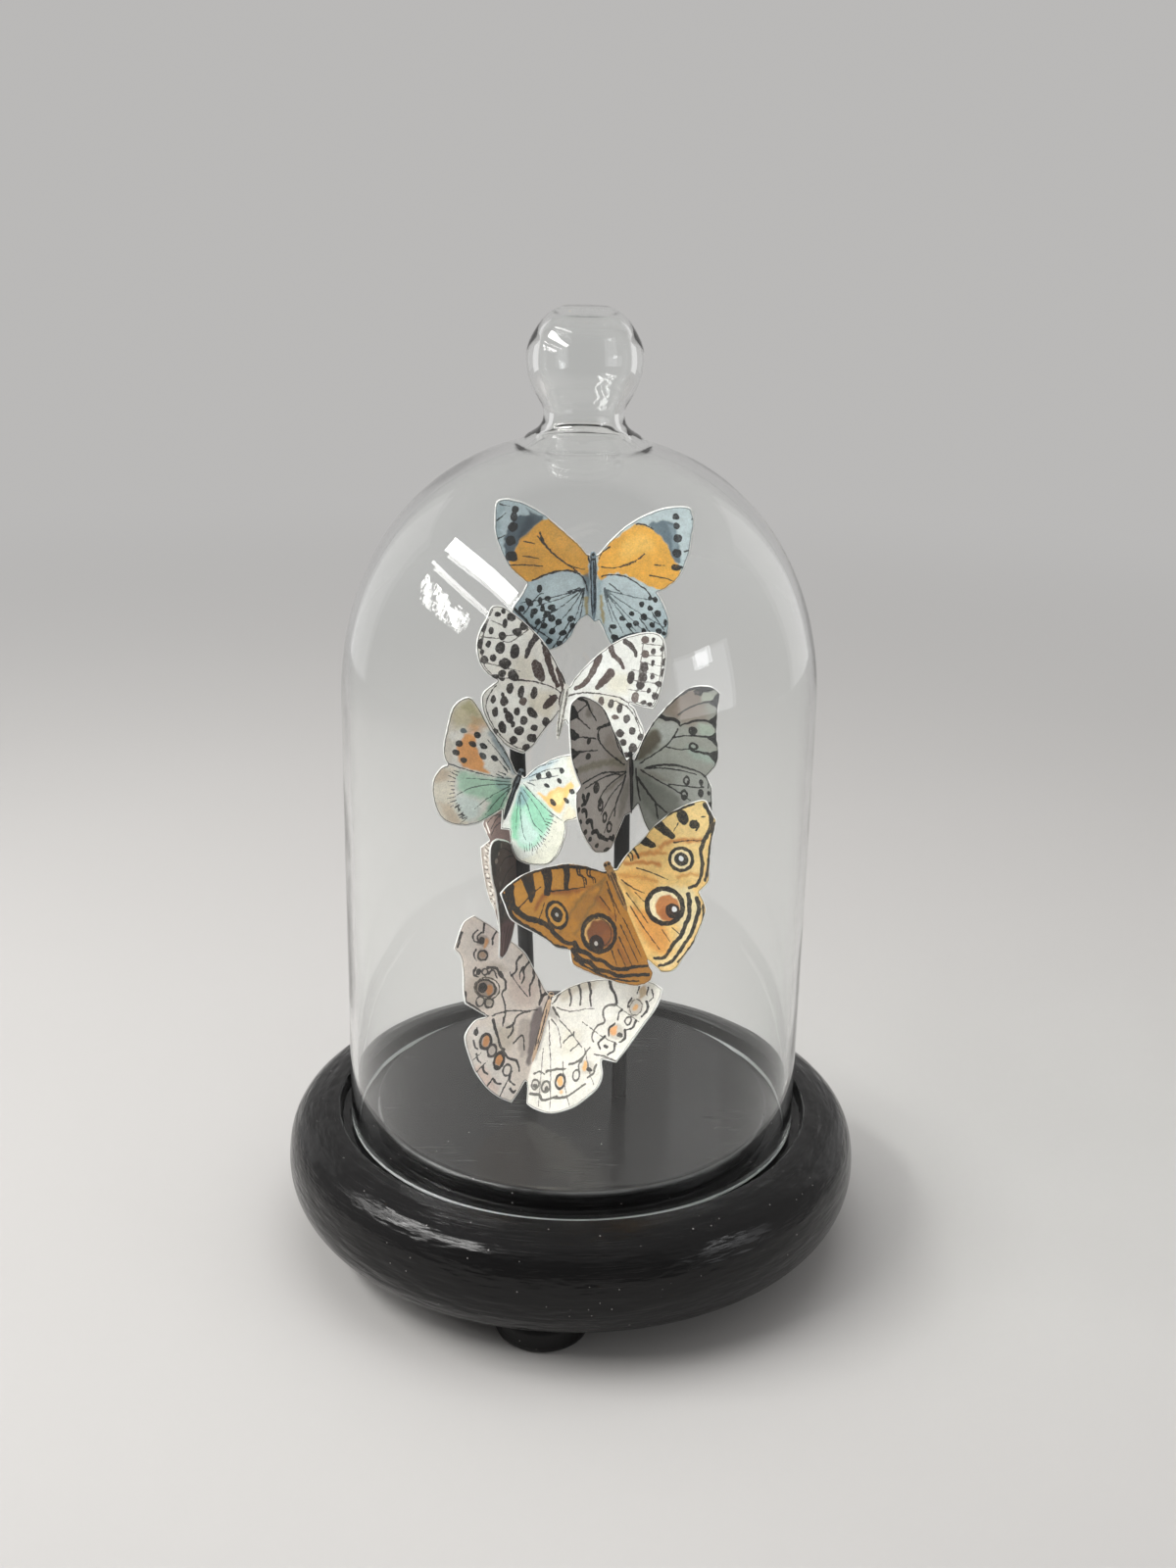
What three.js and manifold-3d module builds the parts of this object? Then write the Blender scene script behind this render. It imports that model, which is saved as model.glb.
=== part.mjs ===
// Folded paper butterflies on two black sticks, under a blown-glass dome on a turned, black-painted wooden base.
// Millimetres, +Z up. The origin is the middle of the footprint, on the surface that the feet stand on; the display faces -Y.
import * as THREE from "three";
import { mergeVertices } from "three/addons/utils/BufferGeometryUtils.js";
import Module from "manifold-3d";

const wasm = await Module();
wasm.setup();

// Driving dimensions
const GAP = 0.3; // kept between pieces that rest on one another
const FOOT_H = 8;
const FOOT_R = 12.8;
const FOOT_CIRCLE = 59; // the feet's centres, from the axis
const FOOT_ANGLES = [-96.4, 23.6, 143.6];
const BASE_R = 82;
const RING_Z = 39; // the inner edge of the ring round the dome, which falls a little outwards
const RING_R = 75;
const GROOVE_R = 67.2;
const GROOVE_Z = 35.1; // the dome stands in the groove
const PLINTH_R = 56.7;
const PLINTH_Z = 40.9;
const DOME_R = 64;
const WALL = 2.1;
const STICK_R = 2.15;
const PAPER = 0.4;

const paint = (color, roughness, metalness = 0) =>
  new THREE.MeshStandardMaterial({ color, roughness, metalness });
const black = paint(0x14161a, 0.45);
const glass = new THREE.MeshStandardMaterial({
  color: 0xe9f2f2,
  roughness: 0.02,
  metalness: 0,
  transparent: true,
  opacity: 0.3,
});

const group = new THREE.Group();
function add(name, geometry, material) {
  const mesh = new THREE.Mesh(geometry, material);
  mesh.name = name;
  group.add(mesh);
  return mesh;
}

// A turned shape: [radius, height] pairs from the axis round to the axis again, anticlockwise.
function turned(profile, sides) {
  const g = new THREE.LatheGeometry(
    profile.map(([r, z]) => new THREE.Vector2(r, z)),
    sides,
  );
  g.rotateX(Math.PI / 2);
  return g;
}

// Points of a smooth curve through the given [radius, height] pairs.
function smooth(points, count) {
  const curve = new THREE.SplineCurve(
    points.map(([r, z]) => new THREE.Vector2(r, z)),
  );
  return curve.getSpacedPoints(count).map((p) => [Math.max(p.x, 0), p.y]);
}

// ---- The base: a rounded rim, a flat ring, the groove for the dome, and a raised disc
const rim = smooth(
  [
    [66, FOOT_H],
    [70.4, FOOT_H + 0.5],
    [74.7, FOOT_H + 2.2],
    [78.1, FOOT_H + 5],
    [80.4, FOOT_H + 8.6],
    [81.6, FOOT_H + 12.2],
    [BASE_R, FOOT_H + 16],
    [81.7, RING_Z - 10.7],
    [80.9, RING_Z - 7.5],
    [79.5, RING_Z - 4.8],
    [77.4, RING_Z - 2.7],
    [RING_R, RING_Z - 1.5],
  ],
  14,
);
add(
  "base",
  turned(
    [
      [0, FOOT_H],
      ...rim,
      [71.4, RING_Z - 0.4],
      [GROOVE_R + 0.5, RING_Z],
      [GROOVE_R, RING_Z - 0.4],
      [GROOVE_R - 0.6, GROOVE_Z],
      [PLINTH_R + 0.3, GROOVE_Z],
      [PLINTH_R, GROOVE_Z + 0.5],
      [PLINTH_R, PLINTH_Z - 0.8],
      [PLINTH_R - 0.8, PLINTH_Z],
      [0, PLINTH_Z],
    ],
    56,
  ),
  black,
);

// ---- Three short round feet
const footTop = FOOT_H - GAP;
FOOT_ANGLES.forEach((degrees, i) => {
  const a = (degrees * Math.PI) / 180;
  const foot = add(
    "foot_" + (i + 1),
    turned(
      [
        [0, 0],
        [FOOT_R - 3, 0],
        [FOOT_R - 1, 0.9],
        [FOOT_R, 3],
        [FOOT_R, footTop - 1.2],
        [FOOT_R - 0.8, footTop],
        [0, footTop],
      ],
      24,
    ),
    black,
  );
  foot.position.set(FOOT_CIRCLE * Math.cos(a), FOOT_CIRCLE * Math.sin(a), 0);
});

// ---- The dome: one blown piece, with a hollow ball knob open to the dome through its neck
const DOME_FOOT = GROOVE_Z + GAP;
const SHOULDER_Z = 158.5;
const CROWN_H = 71.5;
// The shoulder is a quarter of a superellipse, from the wall up to the radius where the neck starts.
function shoulder(radius, height, power, end, count) {
  const last = Math.acos(Math.pow(end / radius, power / 2));
  return Array.from({ length: count + 1 }, (_, i) => {
    const t = (last * i) / count;
    return [
      radius * Math.pow(Math.cos(t), 2 / power),
      SHOULDER_Z + height * Math.pow(Math.sin(t), 2 / power),
    ];
  });
}
const outer = [
  ...shoulder(DOME_R, CROWN_H, 2.15, 17, 16),
  ...smooth(
    [
      [14.2, 230.1],
      [12, 231.5],
      [10.8, 233.2],
      [10.5, 235.2],
      [10.9, 237.2],
      [12.4, 239.8],
      [14.2, 243.4],
      [15.15, 248.2],
      [14.7, 252.2],
      [12.9, 256],
      [10.4, 259.4],
      [7.8, 261.5],
      [6.2, 262],
    ],
    16,
  ),
  [0, 262],
];
const inner = [
  [0, 258.8],
  ...smooth(
    [
      [6, 258.8],
      [8.8, 257.6],
      [11, 254.4],
      [12.2, 249.4],
      [11.6, 244.8],
      [9.8, 240.8],
      [8.4, 237.6],
      [8, 234.8],
      [8.8, 231.4],
      [11.4, 228.4],
    ],
    12,
  ),
  ...shoulder(DOME_R - WALL, CROWN_H - 2.9, 2.15, 15, 14).reverse(),
];
add(
  "glass_dome",
  turned(
    [
      ...inner,
      [DOME_R - WALL, DOME_FOOT + 0.8],
      [DOME_R - WALL + 0.7, DOME_FOOT],
      [DOME_R - 0.7, DOME_FOOT],
      [DOME_R, DOME_FOOT + 0.8],
      ...outer,
    ],
    44,
  ),
  glass,
);

// ---- The sticks, one of them leaning
function stick(name, from, to) {
  const a = new THREE.Vector3(...from);
  const b = new THREE.Vector3(...to);
  const axis = b.clone().sub(a);
  const length = axis.length();
  const g = new THREE.CylinderGeometry(STICK_R, STICK_R, length, 16);
  const mesh = add(name, g, black);
  mesh.position.copy(a).add(b).multiplyScalar(0.5);
  mesh.quaternion.setFromUnitVectors(
    new THREE.Vector3(0, 1, 0),
    axis.normalize(),
  );
}
stick(
  "post_left",
  [-12.2, 5.06, PLINTH_Z + GAP + 0.2],
  [-17.4, 5.06, 153.8],
);
stick("post_right", [13.64, -3.47, PLINTH_Z + GAP], [12.2, -3.47, 142]);

// ---- The butterflies: each is one sheet, folded along the body, with a narrow paper body in the fold.
// left and right are the cut outlines of the two halves, from the head round to the tail: [out from the fold, along the fold].
// turn is how far each half is folded forward, in degrees; face is the way the open side looks.
const BUTTERFLIES = [
  {
    name: "butterfly_orange_tip",
    color: 0xb9a06a,
    head: [2.96, 10.6, 196.95],
    tail: [3.61, 14.6, 177.05],
    face: [0.013, -0.98, -0.197],
    turn: [15, 14],
    body: [1.1, -0.8, 19.4],
    left: [[1.7, -0.5], [3.2, -2.7], [6.8, -6.7], [11.7, -11.7], [14.3, -14], [18.6, -16.8], [21.4, -17.9], [23.6, -18.4], [25.5, -18], [26.2, -16.7], [26.6, -13.2], [26.6, -9.1], [25.4, -4.2], [23.6, 0.1], [21.3, 3.3], [18.8, 5.8], [18.7, 6.5], [20.8, 10], [22.8, 12.5], [23.4, 16], [22.8, 20.2], [21, 23.7], [18.3, 25.8], [15.2, 26.9], [12.2, 26.9], [9.3, 25.9], [6.5, 23.4], [4.7, 19.7], [2.1, 17.7]],
    right: [[1.6, -0.4], [4.4, -4], [8.9, -8.6], [13.3, -11.8], [17.7, -14], [20.9, -15], [24.3, -15.4], [26.2, -15.2], [27, -14.3], [27.7, -11.7], [27.4, -7.6], [26.4, -1.7], [24.1, 4.2], [20.9, 7.8], [17.8, 9.5], [19.5, 12.2], [20.8, 15.4], [21.4, 18.9], [20.6, 22.8], [18, 25.2], [14.1, 27], [9.7, 27.6], [6.9, 27.4], [4.9, 26.7], [2.8, 22.6], [1.4, 19.7]],
  },
  {
    name: "butterfly_speckled",
    color: 0xc9c4b8,
    head: [-3.61, 8.6, 160.34],
    tail: [-5.54, 5.6, 147.65],
    face: [0.008, -0.973, 0.229],
    turn: [20, 21],
    body: [1.1, -0.4, 14.6],
    left: [[0.6, -1.6], [3.6, -5.5], [8.6, -11], [13.2, -14.3], [18.3, -17.3], [21.6, -18.6], [23.5, -18.7], [25.1, -17.8], [25.9, -14.7], [27.3, -11], [27.4, -6.7], [25.9, -2.7], [23.5, -0.1], [20.1, 1.6], [22, 3.5], [23.7, 5.9], [23, 9.8], [20.5, 13.8], [16.8, 17.4], [13, 19.6], [9.1, 20.4], [6.7, 17.9], [4.3, 13.5], [1.8, 9.3], [0.8, 7.2]],
    right: [[0.9, 0.1], [3.1, -4.1], [7.3, -9.7], [11.3, -13.6], [15.4, -16.4], [20.4, -18.3], [24.1, -18.3], [26.2, -16.2], [27.4, -11.1], [27.5, -4.4], [26.9, 0], [26.2, 2], [22.7, 2], [19, 1.6], [20.8, 2.7], [22, 4.4], [24.6, 8.2], [24.8, 10.9], [23.1, 15.3], [21.3, 16.7], [16.9, 17.8], [11.2, 16.9], [6.7, 14.7], [3.6, 12], [1.4, 9.6]],
  },
  {
    name: "butterfly_mint",
    color: 0xa9c4a8,
    head: [-15.76, 2.3, 136.82],
    tail: [-21.27, 2.3, 120.28],
    face: [-0.062, -0.998, 0.021],
    turn: [13, 36],
    body: [1, -0.5, 17.6],
    left: [[1.6, -0.1], [6.3, -5.4], [12.1, -9.9], [16.2, -13.9], [19, -16.3], [20.3, -16.8], [21.7, -16.4], [23.4, -14.4], [24.2, -11.6], [23.6, -5.5], [23, -1.3], [21.8, 1.7], [20.2, 3.3], [21.7, 4.6], [22.7, 8.2], [22, 11.6], [19.6, 16.4], [16.1, 19.3], [11.4, 19.5], [7.6, 18.1], [4.5, 15.3], [1.6, 11.8]],
    right: [[1.7, 0.7], [4.5, -4], [9, -8.9], [13.5, -12.3], [17.8, -14.1], [21, -13.3], [23.2, -10.3], [23.8, -5.9], [24.1, -1.3], [23.6, 1.6], [22.4, 3.1], [19.9, 4.9], [21.1, 6.8], [21.5, 9.3], [21.4, 13.9], [20, 17.3], [17.9, 19.4], [13.2, 21.6], [9.6, 22.3], [7.9, 21.9], [5.7, 20.4], [4.2, 18], [3, 16.2]],
  },
  {
    name: "butterfly_grey",
    color: 0x7b756e,
    head: [14.14, -5.6, 144.77],
    tail: [14.83, -5.6, 128.74],
    face: [-0.011, -1, 0],
    turn: [50, 18],
    body: [1, -0.6, 16],
    left: [[1.7, 0.7], [4.4, -5], [7.3, -9.8], [9.4, -13.8], [12.1, -17.4], [15.9, -19.9], [19.7, -21.4], [22.8, -20.7], [24, -19.1], [24.3, -13.6], [24.2, -6.1], [22.5, -0.9], [20.8, 2.8], [22.7, 4.8], [22.9, 9.1], [21.5, 14.4], [18.9, 19.1], [15.8, 22.8], [11.8, 24.2], [9, 23.7], [6, 20], [2.9, 16.1]],
    right: [[1.1, 1], [4.3, -6.4], [8.2, -12.2], [12, -16.5], [15.9, -19.8], [19.6, -21.1], [22.8, -21], [25.2, -19.3], [24.7, -15.3], [24.2, -9.5], [24.7, -3.1], [24, 0.6], [21.4, 3.8], [22.8, 6.5], [23, 9.1], [23, 13.9], [21.6, 18.8], [18.9, 22.8], [15.3, 25.4], [11.6, 26.4], [8, 24.7], [4.4, 19.9], [2, 13.6]],
  },
  {
    name: "butterfly_eyespot",
    color: 0xc58a2c,
    head: [9.02, -6.2, 112.46],
    tail: [20.4, -13.2, 88.07],
    face: [0.023, -0.958, 0.286],
    turn: [26, 24],
    body: [1.3, -1.2, 12],
    left: [[2, 0], [5.7, -3], [10.7, -6], [16.2, -7.4], [20.6, -8.2], [25.3, -8.4], [30.1, -7.5], [32.8, -6.4], [32.9, -3.6], [33, 0.7], [31, 3.8], [27.9, 7.4], [25.6, 10.5], [24, 13.3], [21.7, 14.9], [20.5, 15.4], [21.5, 18.8], [19.9, 21.5], [16.5, 24.8], [13.1, 27.8], [9.3, 31], [5.3, 33.1], [1.6, 33.3], [0, 31.4], [0.3, 29.2]],
    right: [[2.1, 1], [6.1, -1.6], [11.9, -4], [17.7, -6.5], [23.3, -8.2], [28.2, -8.7], [32.6, -8.5], [34.3, -7.6], [34.5, -3.3], [34.5, -1.3], [30.8, 4], [28.3, 8.6], [25.9, 13], [22.2, 14.8], [22.2, 18.3], [21.4, 20.7], [17.9, 24.4], [14.4, 27.6], [10.2, 30.3], [6.2, 32.8], [2.3, 32.1], [0.7, 28.9]],
  },
  {
    name: "butterfly_brown",
    color: 0x4a403c,
    head: [-17.44, 2.7, 119.92],
    tail: [-16.73, 2.7, 92.63],
    face: [0.053, -0.999, 0.001],
    turn: [-57, 66],
    oneSide: true,
    left: [[1.3, -4.9], [8.4, -4.1], [14.2, -1.3], [16.5, 2.8], [15, 4.9], [13, 6.8], [14.1, 7.6], [17.9, 10.3], [17.3, 15.3], [15.8, 21.5], [13.9, 25.8], [11.4, 28.2], [10, 32.2], [6.3, 31.3]],
    right: [[0.6, 5.6], [2.9, 3.1], [6.2, 0.9], [11.3, -1.3], [14.6, -1.6], [16.2, 0.1], [16.4, 4.1], [15.3, 9.7], [13.5, 13.8], [12.2, 20.1], [11.8, 24.7], [12.1, 29.6], [12.5, 33.4], [10.7, 35], [7.3, 34.3], [4.1, 31.7], [2.5, 29.3], [1.4, 27.4]],
  },
  {
    name: "butterfly_pale",
    color: 0xc9bba9,
    head: [-6.64, 0.8, 70.15],
    tail: [-12.79, -10.7, 48.4],
    face: [0.028, -0.887, 0.461],
    turn: [23, 34],
    body: [1.1, -0.8, 19],
    left: [[1.9, -1.1], [5.9, -4.8], [11.2, -9.7], [15.8, -11.6], [20.4, -13.3], [24.9, -14.7], [29.3, -15.6], [31.3, -13.6], [32.1, -11.1], [32.4, -5], [29.6, -2.9], [27.8, 1.1], [26.6, 5.1], [24.8, 8.9], [20.9, 9.8], [17.2, 10.6], [20.4, 12.5], [22.2, 16.4], [21.8, 18.9], [19.5, 22.4], [16.1, 26.5], [11.4, 29.9], [6.9, 31.6], [3, 32.1], [1.8, 28.9], [0.7, 25.2]],
    right: [[1.3, -0.3], [4.3, -2.9], [8.6, -5.5], [14.4, -7.7], [20.4, -9], [26.2, -9.6], [31.5, -10.4], [35.8, -9.2], [35.8, -5.9], [34.9, -2.5], [32.3, 2.7], [29.8, 8.5], [27.1, 13.6], [22.7, 13.7], [22.5, 14.6], [23.9, 17.9], [23.4, 21.7], [20.1, 26], [16.7, 29.1], [10.8, 31.9], [5.2, 32.1], [1.9, 31.2], [0.9, 27.4]],
  },
];

// A flat plate from an outline of [out, along] pairs, placed with out along u and along along w from the point o.
function plate(outline, thickness, o, u, w) {
  const shape = new THREE.Shape(
    outline.map(([x, y]) => new THREE.Vector2(x, y)),
  );
  const g = new THREE.ExtrudeGeometry(shape, {
    depth: thickness,
    bevelEnabled: false,
  });
  g.translate(0, 0, -thickness / 2);
  const n = new THREE.Vector3().crossVectors(u, w).normalize();
  g.applyMatrix4(new THREE.Matrix4().makeBasis(u, w, n).setPosition(o));
  return g;
}

function solid(geometry) {
  geometry.deleteAttribute("normal");
  geometry.deleteAttribute("uv");
  const g = mergeVertices(geometry, 1e-4);
  return new wasm.Manifold(
    new wasm.Mesh({
      numProp: 3,
      vertProperties: g.getAttribute("position").array,
      triVerts: new Uint32Array(g.index.array),
    }),
  );
}

function joined(solids) {
  const m = solids.reduce((a, b) => a.add(b)).getMesh();
  const g = new THREE.BufferGeometry();
  g.setAttribute("position", new THREE.BufferAttribute(m.vertProperties, 3));
  g.setIndex(new THREE.BufferAttribute(m.triVerts, 1));
  g.computeVertexNormals();
  return g;
}

for (const b of BUTTERFLIES) {
  const head = new THREE.Vector3(...b.head);
  const tail = new THREE.Vector3(...b.tail);
  const along = tail.clone().sub(head);
  const length = along.length();
  along.normalize();
  const face = new THREE.Vector3(...b.face);
  face.addScaledVector(along, -face.dot(along)).normalize();
  const side = new THREE.Vector3().crossVectors(along, face).normalize();
  if (side.x < 0) side.negate();
  const half = (outline, degrees, way) => {
    const t = (degrees * Math.PI) / 180;
    const out = side
      .clone()
      .multiplyScalar(Math.cos(t) * way)
      .addScaledVector(face, Math.sin(t));
    return solid(
      plate([[0, 0], ...outline, [0, length]], PAPER, head, out, along),
    );
  };
  const pieces = [
    half(b.left, b.turn[0], -1),
    half(b.right, b.turn[1], b.oneSide ? -1 : 1),
  ];
  if (b.body) {
    const [w, from, to] = b.body;
    const d = to - from;
    const half = [
      [0.45, 0],
      [0.8, 0.04],
      [0.7, 0.12],
      [1, 0.2],
      [1, 0.34],
      [0.62, 0.42],
      [0.8, 0.6],
      [0.62, 0.82],
      [0.2, 1],
    ].map(([x, y]) => [x * w, from + y * d]);
    const outline = [...half, ...half.map(([x, y]) => [-x, y]).reverse()];
    const front = head.clone().addScaledVector(face, 0.45);
    pieces.push(solid(plate(outline, 0.7, front, side, along)));
  }
  add(b.name, joined(pieces), paint(b.color, 0.85));
}

export default group;
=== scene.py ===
import bpy
import numpy as np
from mathutils import Matrix, Vector
from mathutils.geometry import delaunay_2d_cdt


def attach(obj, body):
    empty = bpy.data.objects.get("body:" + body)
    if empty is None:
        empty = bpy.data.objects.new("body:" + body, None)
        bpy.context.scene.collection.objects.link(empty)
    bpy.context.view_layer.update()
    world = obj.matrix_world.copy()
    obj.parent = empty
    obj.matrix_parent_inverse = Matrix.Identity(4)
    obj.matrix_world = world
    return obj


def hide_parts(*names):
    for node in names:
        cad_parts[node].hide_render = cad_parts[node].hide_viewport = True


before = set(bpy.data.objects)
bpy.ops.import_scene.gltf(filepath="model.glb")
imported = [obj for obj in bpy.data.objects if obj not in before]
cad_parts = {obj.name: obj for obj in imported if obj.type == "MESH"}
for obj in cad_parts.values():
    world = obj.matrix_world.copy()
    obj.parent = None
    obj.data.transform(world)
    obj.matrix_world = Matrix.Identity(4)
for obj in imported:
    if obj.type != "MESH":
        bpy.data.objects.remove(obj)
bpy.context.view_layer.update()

# The viewpoint
# Half a metre in front of the dome and a little above it, looking down at the base.
EYE = Vector((0.002877, -0.46164, 0.28843))
PITCH, ROLL = np.radians(18.4346), np.radians(1.13577)
forward = Vector((0, np.cos(PITCH), -np.sin(PITCH)))
level = Vector((0, np.sin(PITCH), np.cos(PITCH)))
right = np.cos(ROLL) * Vector((1, 0, 0)) + np.sin(ROLL) * level
up = np.cos(ROLL) * level - np.sin(ROLL) * Vector((1, 0, 0))
lens = bpy.data.cameras.new("camera")
lens.lens, lens.sensor_width, lens.clip_start = 40.5, 36, 0.01
camera = bpy.data.objects.new("camera", lens)
camera.matrix_world = Matrix((right, up, -forward)).transposed().to_4x4()
camera.location = EYE
bpy.context.scene.collection.objects.link(camera)
bpy.context.scene.camera = camera


# The base
# One turned wooden disc: a rounded rim, a ring that falls a little outwards, the groove that
# the dome stands in, and a raised disc in the middle. Painted black with a brush as it turned.
def curve(points, steps):
    """A uniform Catmull-Rom spline through the points: each stretch blends its two ends and their
    neighbours with cubic weights.
    """
    p = np.asarray(points, float)
    a, b, c, d = (p[np.clip(np.arange(len(p) - 1) + k, 0, len(p) - 1)] for k in (-1, 0, 1, 2))
    t = (np.arange(steps) / steps)[None, :, None]
    a, b, c, d = (v[:, None] for v in (a, b, c, d))
    v, w = (c - a) / 2, (d - b) / 2
    q = (2 * b - 2 * c + v + w) * t**3 + (-3 * b + 3 * c - 2 * v - w) * t**2 + v * t + b
    return np.r_[q.reshape(-1, p.shape[1]), p[-1:]]


def eased(points, size):
    """Each corner is cut back by size, or by 0.45 of the shorter side, and rounded with a quadratic curve.
    """
    p = np.asarray(points, float)
    before, after = p[:-2] - p[1:-1], p[2:] - p[1:-1]
    m, n = (np.linalg.norm(v, axis=1)[:, None] for v in (before, after))
    cut = np.minimum(size, 0.45 * np.minimum(m, n))
    t = np.linspace(0, 1, 5)[None, :, None]
    a, b = p[1:-1] + before / m * cut, p[1:-1] + after / n * cut
    q = (1 - t) ** 2 * a[:, None] + 2 * t * (1 - t) * p[1:-1, None] + t**2 * b[:, None]
    return np.r_[p[:1], q.reshape(-1, 2), p[-1:]]


def built(name, points, *faces):
    """A mesh object at the origin from points in mm and arrays of triangles or quads."""
    mesh = bpy.data.meshes.new(name)
    corners = np.concatenate([f.ravel() for f in faces]).astype(np.int32)
    sizes = np.concatenate([np.full(len(f), f.shape[1]) for f in faces])
    mesh.vertices.add(len(points))
    mesh.vertices.foreach_set("co", (np.asarray(points) / 1000).astype(np.float32).ravel())
    mesh.loops.add(len(corners))
    mesh.loops.foreach_set("vertex_index", corners)
    mesh.polygons.add(len(sizes))
    mesh.polygons.foreach_set("loop_start", np.r_[0, np.cumsum(sizes)[:-1]].astype(np.int32))
    mesh.polygons.foreach_set("use_smooth", np.ones(len(sizes), bool))
    mesh.update(calc_edges=True)
    piece = bpy.data.objects.new(name, mesh)
    bpy.context.scene.collection.objects.link(piece)
    return piece


def painted(piece, name, values):
    """Stores one value, vector or colour for each vertex as a named attribute."""
    values = np.asarray(values, np.float32)
    kind = {1: "FLOAT", 3: "FLOAT_VECTOR", 4: "FLOAT_COLOR"}[1 if values.ndim == 1 else values.shape[1]]
    data = piece.data.attributes.new(name, kind, "POINT").data
    data.foreach_set(
        {"FLOAT": "value", "FLOAT_VECTOR": "vector", "FLOAT_COLOR": "color"}[kind], values.ravel()
    )


def turned(name, profile, sides, foot=(0, 0, 0), axis=(0, 0, 1), wobble=0.0):
    """The profile of [radius, height] pairs, from the axis round to the axis again, carried round it:
    (r cos t, r sin t, h) in the frame of the foot and the axis. The attribute turn holds (cos t, sin t,
    length along the profile in mm), for marks that run round the piece.
    """
    p = np.asarray(profile, float)
    t = np.arange(sides) * 2 * np.pi / sides
    r, h = p[1:-1, :1], p[1:-1, 1:]
    r = r * (1 + wobble * (np.sin(3 * t + h / 31) + 0.6 * np.sin(2 * t - h / 47 + 1)))
    ring = np.stack([r * np.cos(t), r * np.sin(t), h + 0 * t], -1).reshape(-1, 3)
    points = np.r_[[[0, 0, p[0, 1]]], ring, [[0, 0, p[-1, 1]]]]
    turn = Vector((0, 0, 1)).rotation_difference(Vector(axis))
    points = points @ np.array(turn.to_matrix()).T + np.asarray(foot, float)
    j = np.arange(sides)
    k = (j + 1) % sides
    row = 1 + sides * np.arange(len(p) - 3)[:, None]
    quads = np.stack([row + j, row + k, row + sides + k, row + sides + j], -1).reshape(-1, 4)
    last = 1 + sides * (len(p) - 3)
    low = np.stack([0 * j, 1 + k, 1 + j], -1)
    high = np.stack([0 * j + len(points) - 1, last + j, last + k], -1)
    piece = built(name, points, quads, low, high)
    run = np.r_[0, np.cumsum(np.linalg.norm(np.diff(p, axis=0), axis=1))]
    middle = np.stack([np.cos(t) + 0 * r, np.sin(t) + 0 * r, run[1:-1, None] + 0 * r], -1).reshape(-1, 3)
    painted(piece, "turn", np.r_[[[0, 0, run[0]]], middle, [[0, 0, run[-1]]]])
    return piece


def add_node(tree, kind, inputs=None, **settings):
    """A shader node; an input that is given a socket is linked to it, and any other is set to the value."""
    made = tree.nodes.new(kind)
    for key, value in settings.items():
        setattr(made, key, value)
    for key, value in (inputs or {}).items():
        if isinstance(value, bpy.types.NodeSocket):
            tree.links.new(value, made.inputs[key])
        else:
            made.inputs[key].default_value = value
    return made


def calc(tree, operation, a, b=0.0, clamp=False):
    return add_node(tree, "ShaderNodeMath", {0: a, 1: b}, operation=operation, use_clamp=clamp).outputs[0]


def plus(tree, a, b):
    return calc(tree, "ADD", a, b)


def minus(tree, a, b):
    return calc(tree, "SUBTRACT", a, b)


def times(tree, a, b):
    return calc(tree, "MULTIPLY", a, b)


def vector(tree, x, y, z):
    return add_node(tree, "ShaderNodeCombineXYZ", {0: x, 1: y, 2: z}).outputs[0]


def split_xyz(tree, value):
    return add_node(tree, "ShaderNodeSeparateXYZ", {0: value}).outputs


def mixed(tree, factor, a, b, blend="MIX"):
    return add_node(
        tree, "ShaderNodeMix", {0: factor, 6: a, 7: b}, data_type="RGBA", blend_type=blend
    ).outputs[2]


def ranged(tree, value, low, high, to_low=0.0, to_high=1.0):
    """Maps low..high to to_low..to_high with an eased ramp and holds the ends."""
    return add_node(
        tree, "ShaderNodeMapRange",
        {0: value, 1: low, 2: high, 3: to_low, 4: to_high},
        interpolation_type="SMOOTHSTEP"
    ).outputs[0]


def noise(tree, where, scale, detail=2.0, rough=0.5):
    return add_node(
        tree, "ShaderNodeTexNoise", {"Vector": where, "Scale": scale, "Detail": detail, "Roughness": rough}
    ).outputs[0]


def group(name, inputs, outputs):
    """An empty shader node group with float or colour sockets: (tree, its input node, its output node)."""
    tree = bpy.data.node_groups.new(name, "ShaderNodeTree")
    kinds = {float: "NodeSocketFloat", tuple: "NodeSocketColor"}
    for label, value in inputs.items():
        socket = tree.interface.new_socket(name=label, in_out="INPUT", socket_type=kinds[type(value)])
        socket.default_value = value
    for label, kind in outputs.items():
        tree.interface.new_socket(name=label, in_out="OUTPUT", socket_type=kinds[kind])
    return tree, tree.nodes.new("NodeGroupInput"), tree.nodes.new("NodeGroupOutput")


def material(name, **constants):
    """A material with one Principled BSDF, whose constant values are set on its own sockets: (material,
    tree, shader).
    """
    made = bpy.data.materials.new(name)
    made.use_nodes = True
    shader = made.node_tree.nodes["Principled BSDF"]
    for key, value in constants.items():
        shader.inputs[key.replace("_", " ")].default_value = value
    return made, made.node_tree, shader


# The two edges where the paint is rubbed and a highlight is painted in, in metres: the raised disc's and
# the groove's outer lip.
DISC_EDGE, DISC_TOP = 0.0563, 0.0394
LIP_EDGE, LIP_TOP = 0.0674, 0.0384
# Pale grey for the rubbed edges: worn paint, and also a painted highlight along these edges.
BARE_WOOD_AND_HIGHLIGHT = (0.09, 0.09, 0.09, 1)


def edge_band(tree, radius, height, edge, reach, floor):
    """1 within reach of the radius called edge, eased to 0, and 0 everywhere below the floor."""
    away = calc(tree, "ABSOLUTE", minus(tree, radius, edge))
    return times(tree, ranged(tree, away, 0.0, reach, 1.0, 0.0), calc(tree, "GREATER_THAN", height, floor))


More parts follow.
